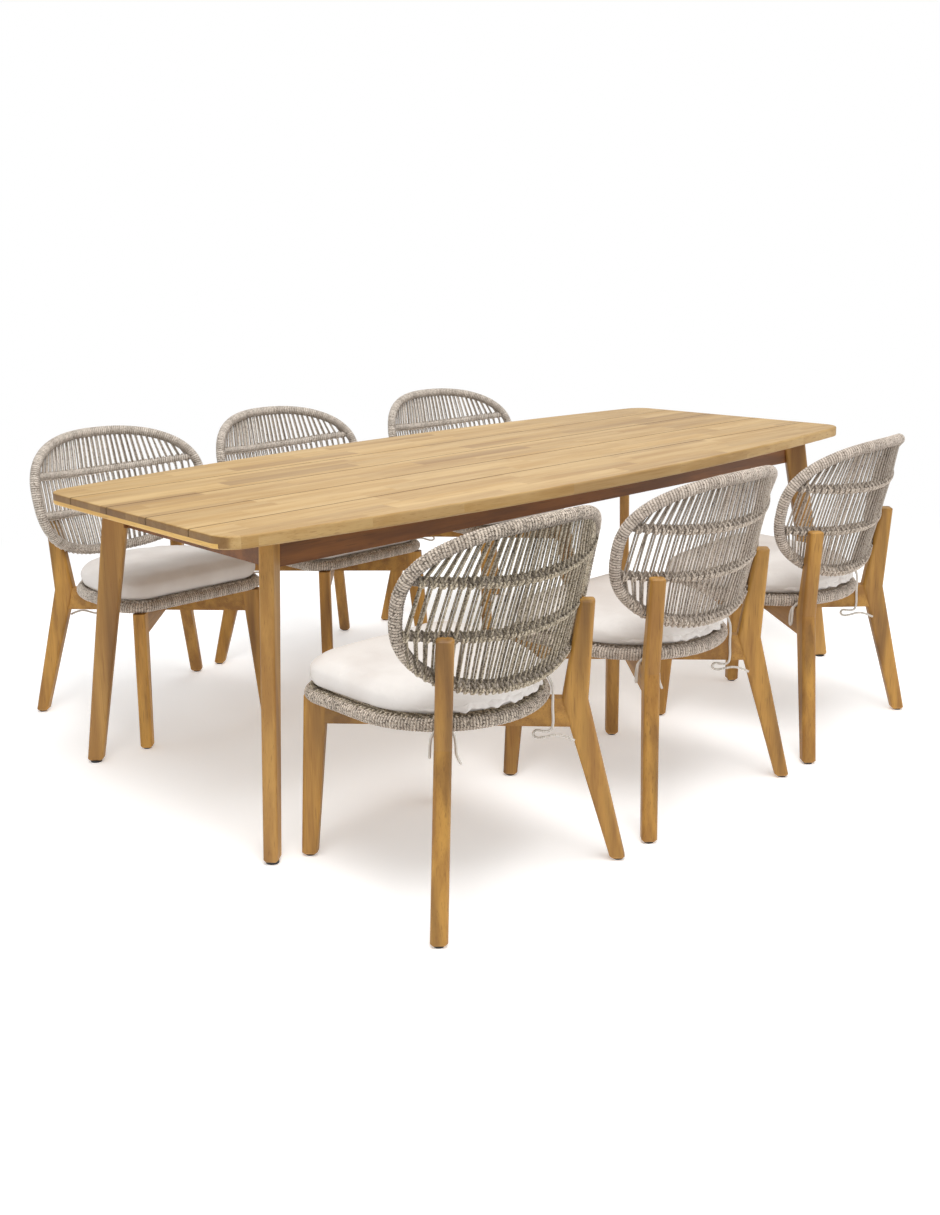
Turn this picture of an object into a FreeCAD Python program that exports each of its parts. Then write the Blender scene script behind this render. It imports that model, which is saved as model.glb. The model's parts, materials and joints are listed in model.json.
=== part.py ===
import FreeCAD, Part
import math
import os

import Sketcher

# Patio dining set: a bow-sided plank table on four splayed legs, and six rope-back chairs.
# Frame: +Z up, origin on the ground under the middle of the table, +X along the table.
# Each chair is drawn once about its own seat: +Y is the way it faces, the origin is on the
# ground under the middle of the seat. Six sets of pieces then stand round the table.

doc = FreeCAD.newDocument("PatioDiningSet")
sheet = doc.addObject("Spreadsheet::Sheet", "Sizes")

SIZES = {
    # table
    "table_length": 2310.0,
    "table_end_width": 843.0,
    "table_side_bow": 96.0,
    "table_top_level": 750.0,
    "top_thick": 30.0,
    "plank_thick": 18.0,
    "plank_width": 187.0,
    "plank_gap": 3.0,
    "top_corner_round": 68.0,
    "top_edge_round": 5.0,
    "batten_width": 80.0,
    "batten_reach": 390.0,
    "table_leg_top_x": 993.6,
    "table_leg_top_y": 348.5,
    "table_leg_splay": 109.0,
    "table_leg_turn": 40.8,
    "table_leg_top_width": 68.0,
    "table_leg_foot_width": 42.0,
    "table_leg_thick": 34.0,
    "table_leg_round": 8.0,
    "apron_depth": 77.0,
    "apron_thick": 22.0,
    "apron_inset": 8.0,
    "bearer_width": 60.0,
    "bearer_depth": 26.0,
    "bearer_place": 330.0,
    "corner_block_length": 108.0,
    "corner_block_thick": 28.0,
    "corner_block_depth": 55.0,
    "corner_block_set_in": 45.0,
    "table_bolt_dia": 8.0,
    "table_glide_dia": 30.0,
    "table_glide_height": 6.0,
    # chair legs and rails
    "diagonal_turn": 48.4,
    "rail_cross_y": 25.7,
    "back_foot_x": 268.0,
    "back_foot_y": -250.0,
    "back_knee_x": 192.6,
    "back_knee_y": -192.1,
    "back_knee_level": 373.9,
    "back_post_x": 203.3,
    "back_post_y": -217.9,
    "back_post_level": 598.6,
    "back_foot_width": 33.0,
    "back_knee_width": 57.0,
    "back_post_width": 34.0,
    "back_leg_thick": 36.0,
    "front_foot_reach": 303.0,
    "front_head_reach": 273.0,
    "front_foot_width": 36.0,
    "front_head_width": 54.0,
    "front_leg_thick": 34.0,
    "chair_leg_round": 9.0,
    "foot_chamfer": 5.0,
    "post_chamfer": 2.5,
    "rail_depth": 63.0,
    "rail_thick": 29.0,
    "chair_glide_dia": 22.0,
    "chair_glide_height": 4.0,
    "saw_room": 36.0,
    "screw_dia": 6.0,
    "screw_length": 70.0,
    "screw_in_rail": 56.0,
    "lap_screw_length": 50.4,
    "hoop_screw_length": 45.0,
    "hoop_screw_level": 508.0,
    # seat
    "seat_ring_dia": 29.0,
    "seat_ring_level": 393.0,
    "seat_half_width": 220.0,
    "seat_front_y": 245.0,
    "seat_back_y": -200.0,
    "seat_corner_round": 70.0,
    "web_thick": 6.0,
    "soft_gap": 0.3,
    "cushion_thick": 57.0,
    "cushion_overhang": 6.0,
    "cushion_top_round": 22.0,
    "cushion_base_round": 5.0,
    # back
    "hoop_dia": 29.0,
    "hoop_half_width": 270.8,
    "hoop_half_height": 171.3,
    "hoop_squareness": 2.516,
    "hoop_egg": 0.078,
    "hoop_centre_level": 641.0,
    "hoop_centre_y": -262.9,
    "hoop_rake": 0.262,
    "hoop_wrap_depth": 109.6,
    "bar_dia": 20.0,
    "upper_bar_level": 718.7,
    "lower_bar_level": 605.8,
    "bar_sag": 20.3,
    # ties
    "tie_dia": 6.0,
    # where the chairs stand: each one's distance along the table from the legs at its end, or
    # from the middle; how far its seat's middle is off the table's widest edge; its turn
    "chair_a_along": 209.3,
    "chair_a_stand_off": 175.8,
    "chair_a_turn": 1.15,
    "chair_b_along": -139.0,
    "chair_b_stand_off": 158.5,
    "chair_b_turn": 1.45,
    "chair_c_along": 498.0,
    "chair_c_stand_off": 123.4,
    "chair_c_turn": 5.91,
    "chair_d_along": 264.5,
    "chair_d_stand_off": 147.9,
    "chair_d_turn": 180.7,
    "chair_e_along": -92.2,
    "chair_e_stand_off": 175.8,
    "chair_e_turn": 181.68,
    "chair_f_along": 383.5,
    "chair_f_stand_off": 169.7,
    "chair_f_turn": 176.96,
}

for row, (alias, value) in enumerate(SIZES.items(), start=1):
    sheet.set("A%d" % row, alias)
    sheet.set("B%d" % row, str(value))
    sheet.setAlias("B%d" % row, alias)
doc.recompute()


def size(alias):
    """The sheet's value for one named size."""
    return float(sheet.get(alias))


def bind(obj, prop, expression):
    """Tie a property to an expression of the sheet's names, each written as Sizes.name."""
    obj.setExpression(prop, expression)


# ---------------------------------------------------------------- helpers

# An edge that spans less than this in height, or lies this close to a level, is flat there.
LEVEL_TOLERANCE = 0.001
# The share of a cord's straight run that one of its bends may take.
BEND_SHARE = 0.45


def box(name, length, width, height, x, y, z):
    """A Part::Box whose three sizes and corner are expressions."""
    solid = doc.addObject("Part::Box", name)
    bind(solid, "Length", length)
    bind(solid, "Width", width)
    bind(solid, "Height", height)
    bind(solid, "Placement.Base.x", x)
    bind(solid, "Placement.Base.y", y)
    bind(solid, "Placement.Base.z", z)
    return solid


def upright_turn():
    """A placement about the vertical whose angle an expression then sets. It starts at a small
    angle, because a placement with no turn has no axis to keep."""
    small_angle = 10
    return FreeCAD.Placement(FreeCAD.Vector(0, 0, 0),
                             FreeCAD.Rotation(FreeCAD.Vector(0, 0, 1), small_angle))


def boolean(kind, name, base, tool):
    """A Part::Cut or Part::Common of two objects."""
    result = doc.addObject("Part::" + kind, name)
    result.Base = base
    result.Tool = tool
    return result


def group(name, members):
    """A Part::Compound that keeps its members as separate solids."""
    compound = doc.addObject("Part::Compound", name)
    compound.Links = members
    return compound


def origin_plane(body, role):
    """One of a body's own three origin planes."""
    for feature in body.Origin.OriginFeatures:
        if feature.Role == role:
            return feature
    raise ValueError(role)


def sketch_on(body, role, name):
    """A sketch on one of the body's origin planes."""
    sketch = body.newObject("Sketcher::SketchObject", name)
    sketch.AttachmentSupport = [(origin_plane(body, role), "")]
    sketch.MapMode = "FlatFace"
    return sketch


def polygon_sketch(sketch, corners):
    """A closed outline whose corners are pairs of expressions, read through the sheet."""
    points = []
    for x, y in corners:
        points.append(FreeCAD.Vector(number(x), number(y), 0))
    count = len(points)
    for k in range(count):
        sketch.addGeometry(Part.LineSegment(points[k], points[(k + 1) % count]), False)
    for k in range(count):
        sketch.addConstraint(Sketcher.Constraint("Coincident", k, 2, (k + 1) % count, 1))
    for k, (x, y) in enumerate(corners):
        for kind, expression, value in (("DistanceX", x, points[k].x),
                                        ("DistanceY", y, points[k].y)):
            index = sketch.addConstraint(Sketcher.Constraint(kind, -1, 1, k, 1, value))
            sketch.setExpression("Constraints[%d]" % index, expression)


def number(expression):
    """The value of an expression, worked out by the sheet."""
    return float(sheet.evalExpression(expression.replace("Sizes.", "")))


def long_edges(shape, least):
    """Names of the straight edges of a solid that are longer than a stated length."""
    names = []
    for k, edge in enumerate(shape.Edges, start=1):
        if edge.Length > least and edge.Curve.TypeId == "Part::GeomLine":
            names.append("Edge%d" % k)
    return names


def rim_edges(shape, level):
    """Names of the edges of a solid that lie flat at one level."""
    names = []
    for k, edge in enumerate(shape.Edges, start=1):
        bounds = edge.BoundBox
        if max(abs(bounds.ZMin - level), abs(bounds.ZMax - level)) < LEVEL_TOLERANCE:
            names.append("Edge%d" % k)
    return names


def plank_leg(name, corners, thick, rounding, least, eased_end, easing):
    """A leg sawn from a board: its outline in the XZ plane, padded both ways, its long edges
    rounded and the rim of one end, at a level of the outline, chamfered."""
    body = doc.addObject("PartDesign::Body", name)
    sketch = sketch_on(body, "XZ_Plane", name + "_outline")
    polygon_sketch(sketch, corners)
    pad = body.newObject("PartDesign::Pad", name + "_pad")
    pad.Profile = sketch
    pad.SideType = "Symmetric"
    bind(pad, "Length", thick)
    doc.recompute()
    edges = long_edges(pad.Shape, least)
    fillet = body.newObject("PartDesign::Fillet", name + "_round")
    fillet.Base = (pad, edges)
    bind(fillet, "Radius", rounding)
    doc.recompute()
    chamfer = body.newObject("PartDesign::Chamfer", name + "_ease")
    chamfer.Base = (fillet, rim_edges(fillet.Shape, number(eased_end)))
    bind(chamfer, "Size", easing)
    body.Tip = chamfer
    doc.recompute()
    return body


def across_body(name, source):
    """The same piece on the other side of the chair's or table's middle plane."""
    twin = doc.addObject("Part::Mirroring", name)
    twin.Source = source
    twin.Normal = (1, 0, 0)
    return twin


def seat_plan(sketch, outset):
    """Outline of the seat, outset from the ring's centre line: straight front and sides,
    rounded front corners, and a half circle round the back."""
    half = number("Sizes.seat_half_width + " + outset)
    front = number("Sizes.seat_front_y + " + outset)
    corner = number("Sizes.seat_corner_round + " + outset)
    turn_y = number("Sizes.seat_back_y + Sizes.seat_half_width")
    inner_x, inner_y = half - corner, front - corner
    vector = FreeCAD.Vector
    up = vector(0, 0, 1)

    def arc(x, y, radius, start, end):
        circle = Part.Circle(vector(x, y, 0), up, radius)
        return Part.ArcOfCircle(circle, math.radians(start), math.radians(end))

    sketch.addGeometry([
        Part.LineSegment(vector(0, front, 0), vector(-inner_x, front, 0)),
        arc(-inner_x, inner_y, corner, 90, 180),
        Part.LineSegment(vector(-half, inner_y, 0), vector(-half, turn_y, 0)),
        arc(0, turn_y, half, 180, 360),
        Part.LineSegment(vector(half, turn_y, 0), vector(half, inner_y, 0)),
        arc(inner_x, inner_y, corner, 0, 90),
        Part.LineSegment(vector(inner_x, front, 0), vector(0, front, 0)),
    ], False)
    count = sketch.GeometryCount
    for k in range(count):
        sketch.addConstraint(Sketcher.Constraint("Coincident", k, 2, (k + 1) % count, 1))
    for arc_index, expression in ((1, "Sizes.seat_corner_round + " + outset),
                                  (3, "Sizes.seat_half_width + " + outset)):
        radius = number(expression)
        index = sketch.addConstraint(Sketcher.Constraint("Radius", arc_index, radius))
        sketch.setExpression("Constraints[%d]" % index, expression)


def seat_pad(name, outset, thick, level, base_round=None, top_round=None):
    """A flat solid of the seat's outline, from one level up, with its rims rounded if asked."""
    body = doc.addObject("PartDesign::Body", name)
    sketch = sketch_on(body, "XY_Plane", name + "_outline")
    seat_plan(sketch, outset)
    pad = body.newObject("PartDesign::Pad", name + "_pad")
    pad.Profile = sketch
    bind(pad, "Length", thick)
    base = pad
    for rim, rounding in (("base", base_round), ("top", top_round)):
        if rounding is None:
            continue
        doc.recompute()
        rim_level = 0.0 if rim == "base" else number(thick)
        fillet = body.newObject("PartDesign::Fillet", "%s_%s_round" % (name, rim))
        fillet.Base = (base, rim_edges(base.Shape, rim_level)[:1])
        bind(fillet, "Radius", rounding)
        body.Tip = fillet
        base = fillet
    bind(body, "Placement.Base.z", level)
    return body


def swept_tubes(curve, diameter, spans):
    """A round tube along a smooth curve, swept in as many equal spans as asked."""
    first = curve.FirstParameter
    span = (curve.LastParameter - first) / spans
    tubes = []
    for k in range(spans):
        edge = Part.Edge(curve, first + k * span, first + (k + 1) * span)
        start = edge.valueAt(edge.FirstParameter)
        heading = edge.tangentAt(edge.FirstParameter)
        section = Part.Wire([Part.makeCircle(diameter / 2.0, start, heading)])
        tubes.append(Part.Wire([edge]).makePipeShell([section], True, True))
    return tubes


# ---------------------------------------------------------------- table top

def outline_of_top():
    """The whole top as one slab: straight ends, bowed sides, rounded corners and arris."""
    body = doc.addObject("PartDesign::Body", "top_slab")
    sketch = sketch_on(body, "XY_Plane", "top_outline")
    half = number("Sizes.table_length / 2")
    end = number("Sizes.table_end_width / 2")
    middle = number("Sizes.table_end_width / 2 + Sizes.table_side_bow")
    vector = FreeCAD.Vector
    corners = [vector(half, -end, 0), vector(half, end, 0),
               vector(-half, end, 0), vector(-half, -end, 0)]
    sketch.addGeometry([
        Part.LineSegment(corners[0], corners[1]),
        Part.Arc(corners[1], vector(0, middle, 0), corners[2]),
        Part.LineSegment(corners[2], corners[3]),
        Part.Arc(corners[3], vector(0, -middle, 0), corners[0]),
    ], False)
    for k in (0, 2):
        for point, x, y in ((1, corners[k].x, corners[k].y), (2, corners[k + 1].x,
                                                             corners[k + 1].y)):
            side_x = "" if x > 0 else "-"
            side_y = "" if y > 0 else "-"
            for kind, value, expression in (
                    ("DistanceX", x, side_x + "Sizes.table_length / 2"),
                    ("DistanceY", y, side_y + "Sizes.table_end_width / 2")):
                index = sketch.addConstraint(Sketcher.Constraint(kind, -1, 1, k, point, value))
                sketch.setExpression("Constraints[%d]" % index, expression)
    pad = body.newObject("PartDesign::Pad", "top_pad")
    pad.Profile = sketch
    bind(pad, "Length", "Sizes.top_thick")
    doc.recompute()
    corner_edges = ["Edge%d" % k for k, edge in enumerate(pad.Shape.Edges, start=1)
                    if edge.BoundBox.ZLength > size("top_thick") / 2]
    corner_fillet = body.newObject("PartDesign::Fillet", "top_corners")
    corner_fillet.Base = (pad, corner_edges)
    bind(corner_fillet, "Radius", "Sizes.top_corner_round")
    doc.recompute()
    rims = ["Edge%d" % k for k, edge in enumerate(corner_fillet.Shape.Edges, start=1)
            if edge.BoundBox.ZLength < LEVEL_TOLERANCE]
    arris = body.newObject("PartDesign::Fillet", "top_arris")
    arris.Base = (corner_fillet, rims)
    bind(arris, "Radius", "Sizes.top_edge_round")
    body.Tip = arris
    bind(body, "Placement.Base.z", "Sizes.table_top_level - Sizes.top_thick")
    return body


def build_top():
    """Five long planks cut out of the top's outline, and the two end battens under them."""
    slab = outline_of_top()
    pitch = "Sizes.plank_width"
    underside = "Sizes.table_top_level - Sizes.top_thick"
    plank_underside = "Sizes.table_top_level - Sizes.plank_thick"
    batten_room = "(Sizes.table_length / 2 - Sizes.batten_width)"
    batten_deep = "Sizes.top_thick - Sizes.plank_thick"
    battens = []
    rooms = []
    for name, x in (("batten_left", "-Sizes.table_length / 2"), ("batten_right", batten_room)):
        room = box(name + "_room", "Sizes.batten_width", "2 * Sizes.batten_reach", batten_deep,
                   x, "-Sizes.batten_reach", underside)
        rooms.append(room)
        battens.append(boolean("Common", name, slab, room))
    batten_rooms = group("batten_rooms", rooms)
    boards = []
    for k in (-1, 0, 1):
        strip = box("plank_strip_%d" % (k + 1), "Sizes.table_length",
                    "Sizes.plank_width - Sizes.plank_gap", "Sizes.plank_thick",
                    "-Sizes.table_length / 2",
                    "%s * %s - (Sizes.plank_width - Sizes.plank_gap) / 2" % (k, pitch),
                    plank_underside)
        boards.append(boolean("Common", "plank_%d" % (k + 1), slab, strip))
    edge_room = "Sizes.table_end_width / 2 + Sizes.table_side_bow - 1.5 * " + pitch
    for name, y in (("edge_plank_near", "-Sizes.table_end_width / 2 - Sizes.table_side_bow"),
                    ("edge_plank_far", "1.5 * %s + Sizes.plank_gap / 2" % pitch)):
        strip = box(name + "_strip", "Sizes.table_length", edge_room + " - Sizes.plank_gap / 2",
                    "Sizes.top_thick", "-Sizes.table_length / 2", y, underside)
        plank = boolean("Common", name + "_sawn", slab, strip)
        boards.append(boolean("Cut", name, plank, batten_rooms))
    return group("top_planks", boards), group("top_battens", battens)


# ---------------------------------------------------------------- table frame

QUARTERS = (("right_far", 1, 1), ("left_far", -1, 1), ("left_near", -1, -1),
            ("right_near", 1, -1))


def quarter_angle(side_x, side_y, alias):
    """Expression for a direction that points out of one corner, measured from +X."""
    turn = "Sizes." + alias
    if side_x > 0:
        return turn if side_y > 0 else "-" + turn
    return "180 - " + turn if side_y > 0 else "180 + " + turn


def build_table_legs():
    """Four tapered planks that stand along the diagonals and splay outwards."""
    top = "Sizes.table_top_level - Sizes.top_thick"
    foot = "Sizes.table_glide_height"
    corners = [("-Sizes.table_leg_top_width / 2", top),
               ("Sizes.table_leg_splay - Sizes.table_leg_foot_width / 2", foot),
               ("Sizes.table_leg_splay + Sizes.table_leg_foot_width / 2", foot),
               ("Sizes.table_leg_top_width / 2", top)]
    legs = []
    for name, side_x, side_y in QUARTERS:
        leg = plank_leg("table_leg_" + name, corners, "Sizes.table_leg_thick",
                        "Sizes.table_leg_round", size("table_top_level") / 2,
                        foot, "Sizes.foot_chamfer")
        leg.Placement = upright_turn()
        bind(leg, "Placement.Base.x", "%d * Sizes.table_leg_top_x" % side_x)
        bind(leg, "Placement.Base.y", "%d * Sizes.table_leg_top_y" % side_y)
        bind(leg, "Placement.Rotation.Angle", quarter_angle(side_x, side_y, "table_leg_turn"))
        legs.append(leg)
    return group("table_leg_set", legs)


def build_table_frame(legs, planks):
    """Side and end aprons between the legs, and two cross bearers notched under the top."""
    underside = "Sizes.table_top_level - Sizes.top_thick"
    level = underside + " - Sizes.apron_depth"
    long_y = "(Sizes.table_leg_top_y - Sizes.apron_inset)"
    long_x = "(Sizes.table_leg_top_x - Sizes.apron_inset)"
    thick = "Sizes.apron_thick"
    pieces = []
    for name, y in (("near", "-" + long_y), ("far", long_y + " - " + thick)):
        pieces.append(box("side_apron_" + name, "2 * Sizes.table_leg_top_x", thick,
                          "Sizes.apron_depth", "-Sizes.table_leg_top_x", y, level))
    for name, x in (("left", "-" + long_x), ("right", long_x + " - " + thick)):
        pieces.append(box("end_apron_" + name, thick, "2 * (%s - %s)" % (long_y, thick),
                          "Sizes.apron_depth", x, "-(%s - %s)" % (long_y, thick), level))
    for name, side in (("left", -1), ("right", 1)):
        pieces.append(box("bearer_" + name, "Sizes.bearer_width",
                          "2 * (%s - %s)" % (long_y, thick), "Sizes.bearer_depth",
                          "%d * Sizes.bearer_place - Sizes.bearer_width / 2" % side,
                          "-(%s - %s)" % (long_y, thick),
                          "Sizes.table_top_level - Sizes.plank_thick - Sizes.bearer_depth"))
    between_legs = boolean("Cut", "frame_between_legs", group("frame_sawn", pieces), legs)
    return boolean("Cut", "frame_notched", between_legs, planks)


def build_corner_blocks(frame):
    """A brace across each inner corner of the frame, and the bolt that draws the leg to it."""
    level = number("Sizes.table_top_level - Sizes.top_thick - Sizes.apron_depth "
                   "+ Sizes.apron_inset")
    corner_x = number("Sizes.table_leg_top_x - Sizes.apron_inset - Sizes.apron_thick")
    corner_y = number("Sizes.table_leg_top_y - Sizes.apron_inset - Sizes.apron_thick")
    inner_face = size("corner_block_set_in") + size("corner_block_thick") / 2
    blocks = []
    bolts = []
    for name, side_x, side_y in QUARTERS:
        turn = math.radians(number(quarter_angle(side_x, side_y, "table_leg_turn")))
        outwards = FreeCAD.Vector(math.cos(turn), math.sin(turn), 0)
        sideways = FreeCAD.Vector(-math.sin(turn), math.cos(turn), 0)
        corner = FreeCAD.Vector(side_x * corner_x, side_y * corner_y, level)
        block = doc.addObject("Part::Box", "corner_block_" + name)
        bind(block, "Length", "Sizes.corner_block_thick")
        bind(block, "Width", "Sizes.corner_block_length")
        bind(block, "Height", "Sizes.corner_block_depth")
        start = corner - outwards * inner_face - sideways * (size("corner_block_length") / 2)
        block.Placement = FreeCAD.Placement(start, FreeCAD.Rotation(FreeCAD.Vector(0, 0, 1),
                                                                    math.degrees(turn)))
        blocks.append(block)
        leg = FreeCAD.Vector(side_x * size("table_leg_top_x"),
                             side_y * size("table_leg_top_y"), level)
        half_up = FreeCAD.Vector(0, 0, size("corner_block_depth") / 2)
        bolt = doc.addObject("Part::Cylinder", "corner_bolt_" + name)
        bind(bolt, "Radius", "Sizes.table_bolt_dia / 2")
        bolt.Height = (leg - corner).dot(outwards) + inner_face
        bolt.Placement = FreeCAD.Placement(corner - outwards * inner_face + half_up,
                                           FreeCAD.Rotation(FreeCAD.Vector(0, 0, 1), outwards))
        bolts.append(bolt)
    return boolean("Cut", "corner_blocks_fitted", group("corner_blocks_sawn", blocks),
                   frame), bolts


def glide(name, diameter, height, x, y):
    """A round foot glide that stands on the ground."""
    solid = doc.addObject("Part::Cylinder", name)
    bind(solid, "Radius", diameter + " / 2")
    bind(solid, "Height", height)
    solid.Placement.Base = FreeCAD.Vector(x, y, 0)
    return solid


def build_table_glides():
    """One glide under the middle of each leg's foot."""
    glides = []
    for name, side_x, side_y in QUARTERS:
        turn = math.radians(number(quarter_angle(side_x, side_y, "table_leg_turn")))
        x = side_x * size("table_leg_top_x") + size("table_leg_splay") * math.cos(turn)
        y = side_y * size("table_leg_top_y") + size("table_leg_splay") * math.sin(turn)
        glides.append(glide("table_glide_" + name, "Sizes.table_glide_dia",
                            "Sizes.table_glide_height", x, y))
    return glides


# ---------------------------------------------------------------- chair legs and rails

def ground_cut(name, solid):
    """Saw a leg level at the top of its glide."""
    reach = "2 * Sizes.back_foot_x"
    block = box(name + "_ground", reach, reach, "Sizes.chair_glide_height + Sizes.saw_room",
                "0", "2 * Sizes.back_foot_y", "-Sizes.saw_room")
    return boolean("Cut", name, solid, block)


def eased_foot(name, solid):
    """A leg with the rim of its sawn foot chamfered."""
    doc.recompute()
    width = size("foot_chamfer")
    chamfer = doc.addObject("Part::Chamfer", name)
    chamfer.Base = solid
    rim = rim_edges(solid.Shape, size("chair_glide_height"))
    chamfer.Edges = [(int(edge[len("Edge"):]), width, width) for edge in rim]
    return chamfer


def build_back_legs(hoop_room):
    """Two kneed legs: each a board in the plane of its foot, its knee and its post's head,
    with a scoop in the front of the post that the hoop is screwed into."""
    foot = FreeCAD.Vector(size("back_foot_x"), size("back_foot_y"), 0)
    knee = FreeCAD.Vector(size("back_knee_x"), size("back_knee_y"), size("back_knee_level"))
    head = FreeCAD.Vector(size("back_post_x"), size("back_post_y"), size("back_post_level"))
    normal = (head - knee).cross(knee - foot).normalize()
    outwards = normal.cross(FreeCAD.Vector(0, 0, 1)).normalize()
    if outwards.x < 0:
        outwards = outwards * -1
    upwards = outwards.cross(normal).normalize()
    if upwards.z < 0:
        upwards = upwards * -1
    across = upwards.cross(outwards)
    rotation = FreeCAD.Rotation(outwards, across, upwards, "XZY")
    places = []
    for point in (foot, knee, head):
        places.append(((point - foot).dot(outwards), (point - foot).dot(upwards)))
    below = size("saw_room") / 3
    (knee_out, knee_up), (head_out, head_up) = places[1], places[2]
    slope = knee_out / knee_up
    corners = []
    for side in (-1, 1):
        half = "%d * Sizes.%%s / 2" % side
        run = [("%r + %s" % (-slope * below, half % "back_foot_width"), "%r" % -below),
               ("%r + %s" % (knee_out, half % "back_knee_width"), "%r" % knee_up),
               ("%r + %s" % (head_out, half % "back_post_width"), "%r" % head_up)]
        corners += run if side < 0 else run[::-1]
    body = plank_leg("back_leg_board", corners, "Sizes.back_leg_thick",
                     "Sizes.chair_leg_round", size("back_post_level") / 4,
                     "%r" % head_up, "Sizes.post_chamfer")
    body.Placement = FreeCAD.Placement(foot, rotation)
    standing = eased_foot("back_leg_standing", ground_cut("back_leg_level", body))
    right = boolean("Cut", "back_leg_right", standing, hoop_room)
    left = across_body("back_leg_left", right)
    return group("back_leg_pair", [right, left])


def build_front_legs():
    """Two tapered legs along the diagonals, their heads under the seat ring's corners."""
    head = "Sizes.seat_ring_level - Sizes.seat_ring_dia / 2"
    foot = "Sizes.chair_glide_height"
    corners = []
    for sign in (-1, 1):
        run = [("Sizes.front_head_reach + %d * Sizes.front_head_width / 2" % sign, head),
               ("Sizes.front_foot_reach + %d * Sizes.front_foot_width / 2" % sign, foot)]
        corners += run if sign < 0 else run[::-1]
    body = plank_leg("front_leg_right", corners, "Sizes.front_leg_thick",
                     "Sizes.chair_leg_round", size("seat_ring_level") / 2,
                     foot, "Sizes.foot_chamfer")
    body.Placement = upright_turn()
    bind(body, "Placement.Rotation.Angle", "Sizes.diagonal_turn")
    bind(body, "Placement.Base.y", "Sizes.rail_cross_y")
    return group("front_leg_pair", [body, across_body("front_leg_left", body)])


def build_cross_rails(back_legs, front_legs):
    """Two rails crossed under the seat, half lapped, butted against the legs they join."""
    back_reach = math.hypot(size("back_knee_x"), size("back_knee_y") - size("rail_cross_y"))
    bottom = "Sizes.seat_ring_level - Sizes.seat_ring_dia / 2 - Sizes.rail_depth"
    full = []
    for name, sign in (("rail_to_right", 1), ("rail_to_left", -1)):
        body = doc.addObject("PartDesign::Body", name + "_sawn")
        sketch = sketch_on(body, "XY_Plane", name + "_outline")
        half = "Sizes.rail_thick / 2"
        polygon_sketch(sketch, [("%r" % -back_reach, "-" + half),
                                ("Sizes.front_head_reach", "-" + half),
                                ("Sizes.front_head_reach", half),
                                ("%r" % -back_reach, half)])
        pad = body.newObject("PartDesign::Pad", name + "_pad")
        pad.Profile = sketch
        bind(pad, "Length", "Sizes.rail_depth")
        body.Placement = upright_turn()
        angle = "Sizes.diagonal_turn" if sign > 0 else "180 - Sizes.diagonal_turn"
        bind(body, "Placement.Rotation.Angle", angle)
        bind(body, "Placement.Base.y", "Sizes.rail_cross_y")
        bind(body, "Placement.Base.z", bottom)
        full.append(body)
    lapped = []
    for name, own, other, level in (("rail_to_right", full[0], full[1], bottom),
                                    ("rail_to_left", full[1], full[0],
                                     bottom + " + Sizes.rail_depth / 2")):
        reach = "2 * Sizes.rail_thick"
        room = box(name + "_lap_room", "2 * " + reach, "2 * " + reach, "Sizes.rail_depth / 2",
                   "-" + reach, "Sizes.rail_cross_y - " + reach, level)
        lap = boolean("Common", name + "_lap", other, room)
        lapped.append(boolean("Cut", name, own, lap))
    pair = group("rail_pair", lapped)
    return boolean("Cut", "rails_between_legs", pair,
                   group("all_chair_legs", [back_legs, front_legs]))


def build_fixings():
    """Foot glides, and the screws that hold the rails to the legs and the ring to the rails."""
    pieces = []
    for name, x, y in (("back", size("back_foot_x"), size("back_foot_y")),
                       ("front", size("front_foot_reach") * math.cos(diagonal()),
                        size("rail_cross_y") + size("front_foot_reach") * math.sin(diagonal()))):
        right = glide("chair_glide_" + name, "Sizes.chair_glide_dia",
                      "Sizes.chair_glide_height", x, y)
        pieces += [right, across_body("chair_glide_%s_left" % name, right)]
    level = size("seat_ring_level") - size("seat_ring_dia") / 2 - size("rail_depth") / 2
    back_reach = math.hypot(size("back_knee_x"), size("back_knee_y") - size("rail_cross_y"))
    for name, reach, turn in (("back", back_reach, -diagonal()),
                              ("front", size("front_head_reach"), diagonal())):
        outwards = FreeCAD.Vector(math.cos(turn), math.sin(turn), 0)
        screw = doc.addObject("Part::Cylinder", "rail_screw_" + name)
        bind(screw, "Radius", "Sizes.screw_dia / 2")
        bind(screw, "Height", "Sizes.screw_length")
        start = outwards * (reach - size("screw_in_rail"))
        start += FreeCAD.Vector(0, size("rail_cross_y"), level)
        turn_to = FreeCAD.Rotation(FreeCAD.Vector(0, 0, 1), outwards)
        screw.Placement = FreeCAD.Placement(start, turn_to)
        pieces += [screw, across_body("rail_screw_%s_left" % name, screw)]
    middle = doc.addObject("Part::Cylinder", "lap_screw")
    bind(middle, "Radius", "Sizes.screw_dia / 2")
    bind(middle, "Height", "Sizes.lap_screw_length")
    bind(middle, "Placement.Base.y", "Sizes.rail_cross_y")
    bind(middle, "Placement.Base.z",
         "Sizes.seat_ring_level - Sizes.seat_ring_dia / 2 - Sizes.rail_depth")
    pieces.append(middle)
    hoop_screw = doc.addObject("Part::Cylinder", "hoop_screw")
    bind(hoop_screw, "Radius", "Sizes.screw_dia / 2")
    bind(hoop_screw, "Height", "Sizes.hoop_screw_length")
    start = FreeCAD.Vector(size("back_post_x"), size("back_post_y"), size("hoop_screw_level"))
    hoop_screw.Placement = FreeCAD.Placement(start, FreeCAD.Rotation(FreeCAD.Vector(0, 0, 1),
                                                                     FreeCAD.Vector(0, 1, 0)))
    pieces += [hoop_screw, across_body("hoop_screw_left", hoop_screw)]
    return group("fixing_set", pieces)


def diagonal():
    """The rails' direction, in radians from +X."""
    return math.radians(size("diagonal_turn"))


# ---------------------------------------------------------------- seat

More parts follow.
